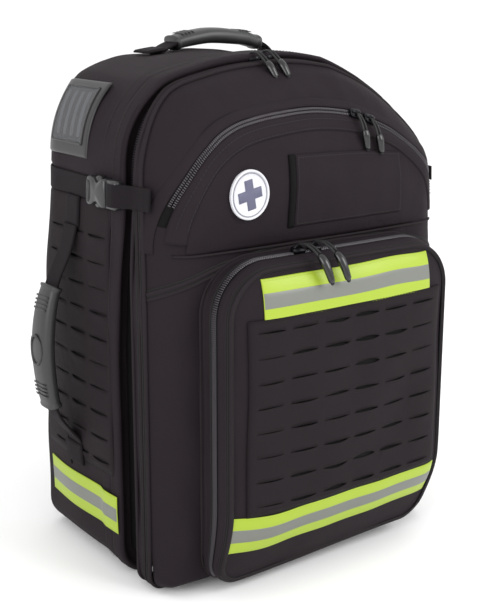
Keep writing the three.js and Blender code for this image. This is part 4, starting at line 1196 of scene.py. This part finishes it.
for side, x in (("left", -0.037), ("right", -0.022)):
    z = TRACK_Z + math.sqrt(TRACK_R ** 2 - x ** 2) + 0.0045
    slider("main_slider_" + side, (x, -0.0530, z + 0.0075), (1, 0, -x / 0.35), (x / 0.35, 0, 1),
           "main_slider_" + side)
    lie = spline([(x, -0.0560, z + 0.0150), (x + 0.001, -0.0630, z + 0.0140),
                  (x + 0.003, -0.0700, z + 0.0085), (x + 0.005, -0.0770, z + 0.0010),
                  (x + 0.007, -0.0830, z - 0.0080)], 34)
    zip_pull("main_pull_" + side, lie, (1, 0, 0), "main_pull_" + side)
for side, x in (("left", 0.050), ("right", 0.068)):
    z = FLAP["top"] - FLAP["crown"] + math.sqrt((FLAP["crown"] + 0.006) ** 2 - x ** 2)
    y = float(lid_y(np.array([x]), np.array([z]))[0])
    slider("arch_slider_" + side, (x, y - 0.0030, z), (1, 0, -x / 0.35), (0, -1, 0.5), "arch_slider_" + side)
    lie = spline([(x, y - 0.0085, z + 0.001), (x + 0.002, y - 0.0135, z - 0.007),
                  (x + 0.004, y - 0.0160, z - 0.018), (x + 0.006, y - 0.0175, z - 0.034)], 34)
    zip_pull("arch_pull_" + side, lie, (1, 0, 0), "arch_pull_" + side)
for side, x in (("left", -0.042), ("right", -0.022)):
    slider("pocket_slider_" + side, (x, ZIP_Y, 0.3358), (1, 0, 0), (0, -0.3, 1), "pocket_slider_" + side)
    lie = spline([(x, ZIP_Y - 0.0035, 0.3430), (x + 0.001, ZIP_Y - 0.0140, 0.3440),
                  (x + 0.003, -0.1590, 0.3390), (x + 0.006, -0.1690, 0.3280), (x + 0.010, -0.1745, 0.3110)],
                 40)
    zip_pull("pocket_pull_" + side, lie, (1, 0, 0), "pocket_pull_" + side)

# ---- Back pads ------------------------------------------------------------
# Two tall foam pads and a lumbar pad under air mesh, sewn round their edges
# and quilted by cross seams. Each is blown up as cloth so that it rounds over.
AIR_MESH = pack_cloth("air mesh", "#262425", thread=2.6, bump=1.0, wrinkle=0.1)


def inflate(obj, cap=0.004, voxel=0.005):
    """Rounds a pad out as inflated cloth: an even mesh, twenty frames of pressure, and no point moved past
    the cap."""
    even = obj.modifiers.new("even mesh", "REMESH")
    even.mode, even.voxel_size = "VOXEL", voxel
    graph = bpy.context.evaluated_depsgraph_get()
    mesh = bpy.data.meshes.new_from_object(obj.evaluated_get(graph))
    obj.modifiers.clear()
    obj.data = mesh
    read = lambda m: np.array([v.co for v in m.vertices], float)
    rest = read(mesh)
    cloth = obj.modifiers.new("cloth", "CLOTH")
    cloth.settings.quality = 4
    cloth.settings.use_pressure = True
    cloth.settings.uniform_pressure_force = 4
    cloth.settings.effector_weights.gravity = 0
    cloth.point_cache.frame_start, cloth.point_cache.frame_end = 1, 20
    for f in range(1, 21):
        scene.frame_set(f)
    moved = read(obj.evaluated_get(bpy.context.evaluated_depsgraph_get()).data) - rest
    far = np.linalg.norm(moved, axis=1, keepdims=True)
    moved *= np.minimum(1, cap / np.maximum(far, 1e-9))
    obj.modifiers.clear()
    mesh.vertices.foreach_set("co", (rest + moved).ravel())
    scene.frame_set(1)
    mesh.polygons.foreach_set("use_smooth", np.ones(len(mesh.polygons), bool))
    fine = obj.modifiers.new("smooth", "SUBSURF")
    fine.levels = fine.render_levels = 1
    return obj


def back_pad(name, half, low, high, top_r, low_r, x, seams):
    """A pad on the back panel, with strips along its cross seams and a bound edge. Its outline stands in X and
    Z."""
    ring = round_rect(half, low, high, top_r, low_r, x, (12, 6, 50, 8, 12))
    c = np.array([x, (low + high) / 2])
    rows = [lay(c + k * (ring - c), y) for y, k in ((0.1286, 0.0), (0.1286, 0.5), (0.1286, 0.97),
                                                    (0.1300, 0.995), (0.1340, 1.0), (0.1385, 0.985),
                                                    (0.1410, 0.95), (0.1418, 0.90), (0.1420, 0.6),
                                                    (0.1420, 0.0))]
    pad = inflate(skin(name, np.array(rows), "rear_compartment", AIR_MESH, closed=True,
                       flip=True), 0.0025)
    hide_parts(name)
    edge = lay(ring, 0.1305)
    sweep(name + "_binding", edge, (0, 1, 0), strap_section(0.006, 0.0026), "rear_compartment",
          BINDING, closed=True)
    for k, z in enumerate(seams):
        w = half - 0.004
        t = np.linspace(-w, w, 30)
        line = np.stack([x + t, 0.1440 - 0.0050 * (t / w) ** 6, np.full(30, z)], 1)
        sweep(f"{name}_seam_{k}", line, (0, 0, 1), strap_section(0.0060, 0.0014), "rear_compartment",
              BINDING)


back_pad("back_pad_left", 0.050, 0.158, 0.426, 0.034, 0.020, -0.068, (0.225, 0.292, 0.359))
back_pad("back_pad_right", 0.050, 0.158, 0.426, 0.034, 0.020, 0.068, (0.225, 0.292, 0.359))
back_pad("lumbar_pad", 0.078, 0.044, 0.132, 0.024, 0.024, 0.0, (0.088,))

# ---- Shoulder straps ------------------------------------------------------
# Curved foam straps faced with pack cloth outside, each with a row of webbing
# down its middle, a ladder lock and a lower strap to the foot of the pack.
STRAP_X, LOCK_Y = 0.092, 0.1650  # where the lower straps hang, and the depth of their ladder locks
for side, g in (("left", -1), ("right", 1)):
    body = "shoulder_strap_" + side
    path = spline([(g * 0.070, 0.1310, 0.468), (g * 0.070, 0.1420, 0.464), (g * 0.070, 0.1560, 0.448),
                   (g * 0.071, 0.1640, 0.418), (g * 0.076, 0.1650, 0.350), (g * 0.083, 0.1650, 0.280),
                   (g * 0.090, 0.1640, 0.215), (g * 0.092, 0.1620, 0.180)], 70)
    t = np.linspace(0, 1, 70)
    size = np.interp(t, [0, 0.04, 0.15, 0.85, 0.96, 1], [0.55, 0.9, 1.0, 1.0, 0.75, 0.45])
    size = np.stack([size, np.minimum(1, size + 0.2)], 1)[:, None]
    foam = sweep(body, path, (1, 0, 0), strap_section(0.064, 0.012)[None] * size, body, CLOTH)
    pad = inflate(foam, 0.0025)
    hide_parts(body)
    T = np.gradient(path, axis=0)[4:-2]
    facing = path[4:-2] + np.cross(T / np.linalg.norm(T, axis=1, keepdims=True), (-1, 0, 0)) * 0.0085
    sweep("shoulder_webbing_" + side, facing, (1, 0, 0), strap_section(WEB, 0.0020), body, WEBBING)
    lower = "lower_strap_" + side
    line = spline([(g * STRAP_X, y, z) for y, z in (
        (0.1295, 0.1275), (0.1380, 0.1290), (0.1520, 0.1370), (0.1600, 0.1500), (0.1620, 0.1660))], 40)
    strap = sweep(lower, line, (1, 0, 0), strap_section(0.022, 0.0024), lower, WEBBING)
    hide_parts(lower)
    for k, z in enumerate((0.1475, 0.1575, 0.1690)):
        bar = np.stack([g * STRAP_X + np.linspace(-0.0140, 0.0140, 12), np.full(12, LOCK_Y), np.full(12, z)], 1)
        sweep(f"ladder_lock_bar_{k}_{side}", bar, (0, 0, 1), circle(0.0018, 8), lower, ACETAL)
    for k, x in enumerate((-0.0135, 0.0135)):
        rail = np.stack([np.full(12, g * STRAP_X + x), np.full(12, LOCK_Y), np.linspace(0.1455, 0.1705, 12)], 1)
        sweep(f"ladder_lock_rail_{k}_{side}", rail, (0, 1, 0), circle(0.0018, 8), lower, ACETAL)

# ---- Sternum strap --------------------------------------------------------
# Each half is a short webbing that slides on the shoulder strap and ends in one
# half of a small moulded buckle.
for side, g in (("left", -1), ("right", 1)):
    body = "sternum_half_" + side
    line = np.array([(g * x, 0.1612, 0.328) for x in np.linspace(0.0385, 0.0135, 12)])
    strap = sweep(body, line, (0, 0, 1), strap_section(0.020, 0.0020), body, WEBBING)
    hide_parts(body)
    ring = np.array([(0.0022, 0.3175), (0.0135, 0.3165), (0.0150, 0.3200), (0.0150, 0.3360),
                     (0.0135, 0.3395), (0.0022, 0.3385)])
    wind = ring[::-1] if g > 0 else ring
    moulded("sternum_buckle_" + side, wind, [(0.157, 0.95), (0.158, 1), (0.164, 1), (0.165, 0.92)],
            lambda q, h: np.stack([g * q[:, 0], np.full(len(q), h), q[:, 1]], 1), body, ACETAL)

# ---- Waist wings ----------------------------------------------------------
# Padded hip wings sewn into the side seams near the foot and folded across the
# back panel, each with a strap end and a buckle tongue.
for side, g in (("left", -1), ("right", 1)):
    body = "waist_wing_" + side
    line = spline([(g * 0.1510, 0.1305, 0.086), (g * 0.1535, 0.1400, 0.086), (g * 0.1500, 0.1510, 0.086),
                   (g * 0.1380, 0.1555, 0.086), (g * 0.1000, 0.1560, 0.086), (g * 0.0500, 0.1560, 0.086)],
                  60)
    t = np.linspace(0, 1, 60)
    tall = np.interp(t, [0, 0.08, 0.7, 0.96, 1], [0.9, 1.0, 1.0, 0.72, 0.5])
    size = np.stack([tall, np.minimum(tall + 0.2, 1)], 1)[:, None]
    foam = sweep(body, line, (0, 0, 1), strap_section(0.062, 0.0100)[None] * size, body, CLOTH)
    pad = inflate(foam, 0.0020)
    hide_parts(body)
    end = np.array([(g * x, 0.1560, 0.086) for x in np.linspace(0.0540, 0.0240, 14)])
    sweep("waist_strap_" + side, end, (0, 0, 1), strap_section(WEB, 0.0022), body, WEBBING)
    ring = np.array([(0.0085, 0.0750), (0.0260, 0.0735), (0.0290, 0.0770), (0.0290, 0.0950),
                     (0.0260, 0.0985), (0.0085, 0.0970)])
    wind = ring[::-1] if g > 0 else ring
    moulded("waist_buckle_" + side, wind, [(0.1525, 0.95), (0.1535, 1), (0.1585, 1), (0.1595, 0.92)],
            lambda q, h: np.stack([g * q[:, 0], np.full(len(q), h), q[:, 1]], 1), body, ACETAL)

# ---- Inside ---------------------------------------------------------------
# A padded shelf divides the main compartment and a plastic sheet stiffens the
# back.
lo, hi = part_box("divider_shelf")
ring = np.array([(lo.x, lo.y), (hi.x, lo.y), (hi.x, hi.y), (lo.x, hi.y)])
along = np.linspace(0, 1, 20, endpoint=False)[:, None]
dense = np.concatenate([a + along * (b - a) for a, b in zip(ring, np.roll(ring, -1, 0))])
shelf = moulded("divider_shelf", dense,
                [(lo.z, 0.995), (lo.z + 0.001, 1), (hi.z - 0.001, 1), (hi.z, 0.995), (hi.z, 0.5)],
                lambda q, h: np.insert(q, 2, h, axis=1), "rear_compartment", LINING)
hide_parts("divider_shelf")
POLYETHYLENE = material("natural polyethylene", Base_Color=linear("#d8d8d4"), Roughness=0.45)[0]
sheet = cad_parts["frame_sheet"]
sheet.data.materials.clear()
sheet.data.materials.append(POLYETHYLENE)

lo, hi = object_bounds()
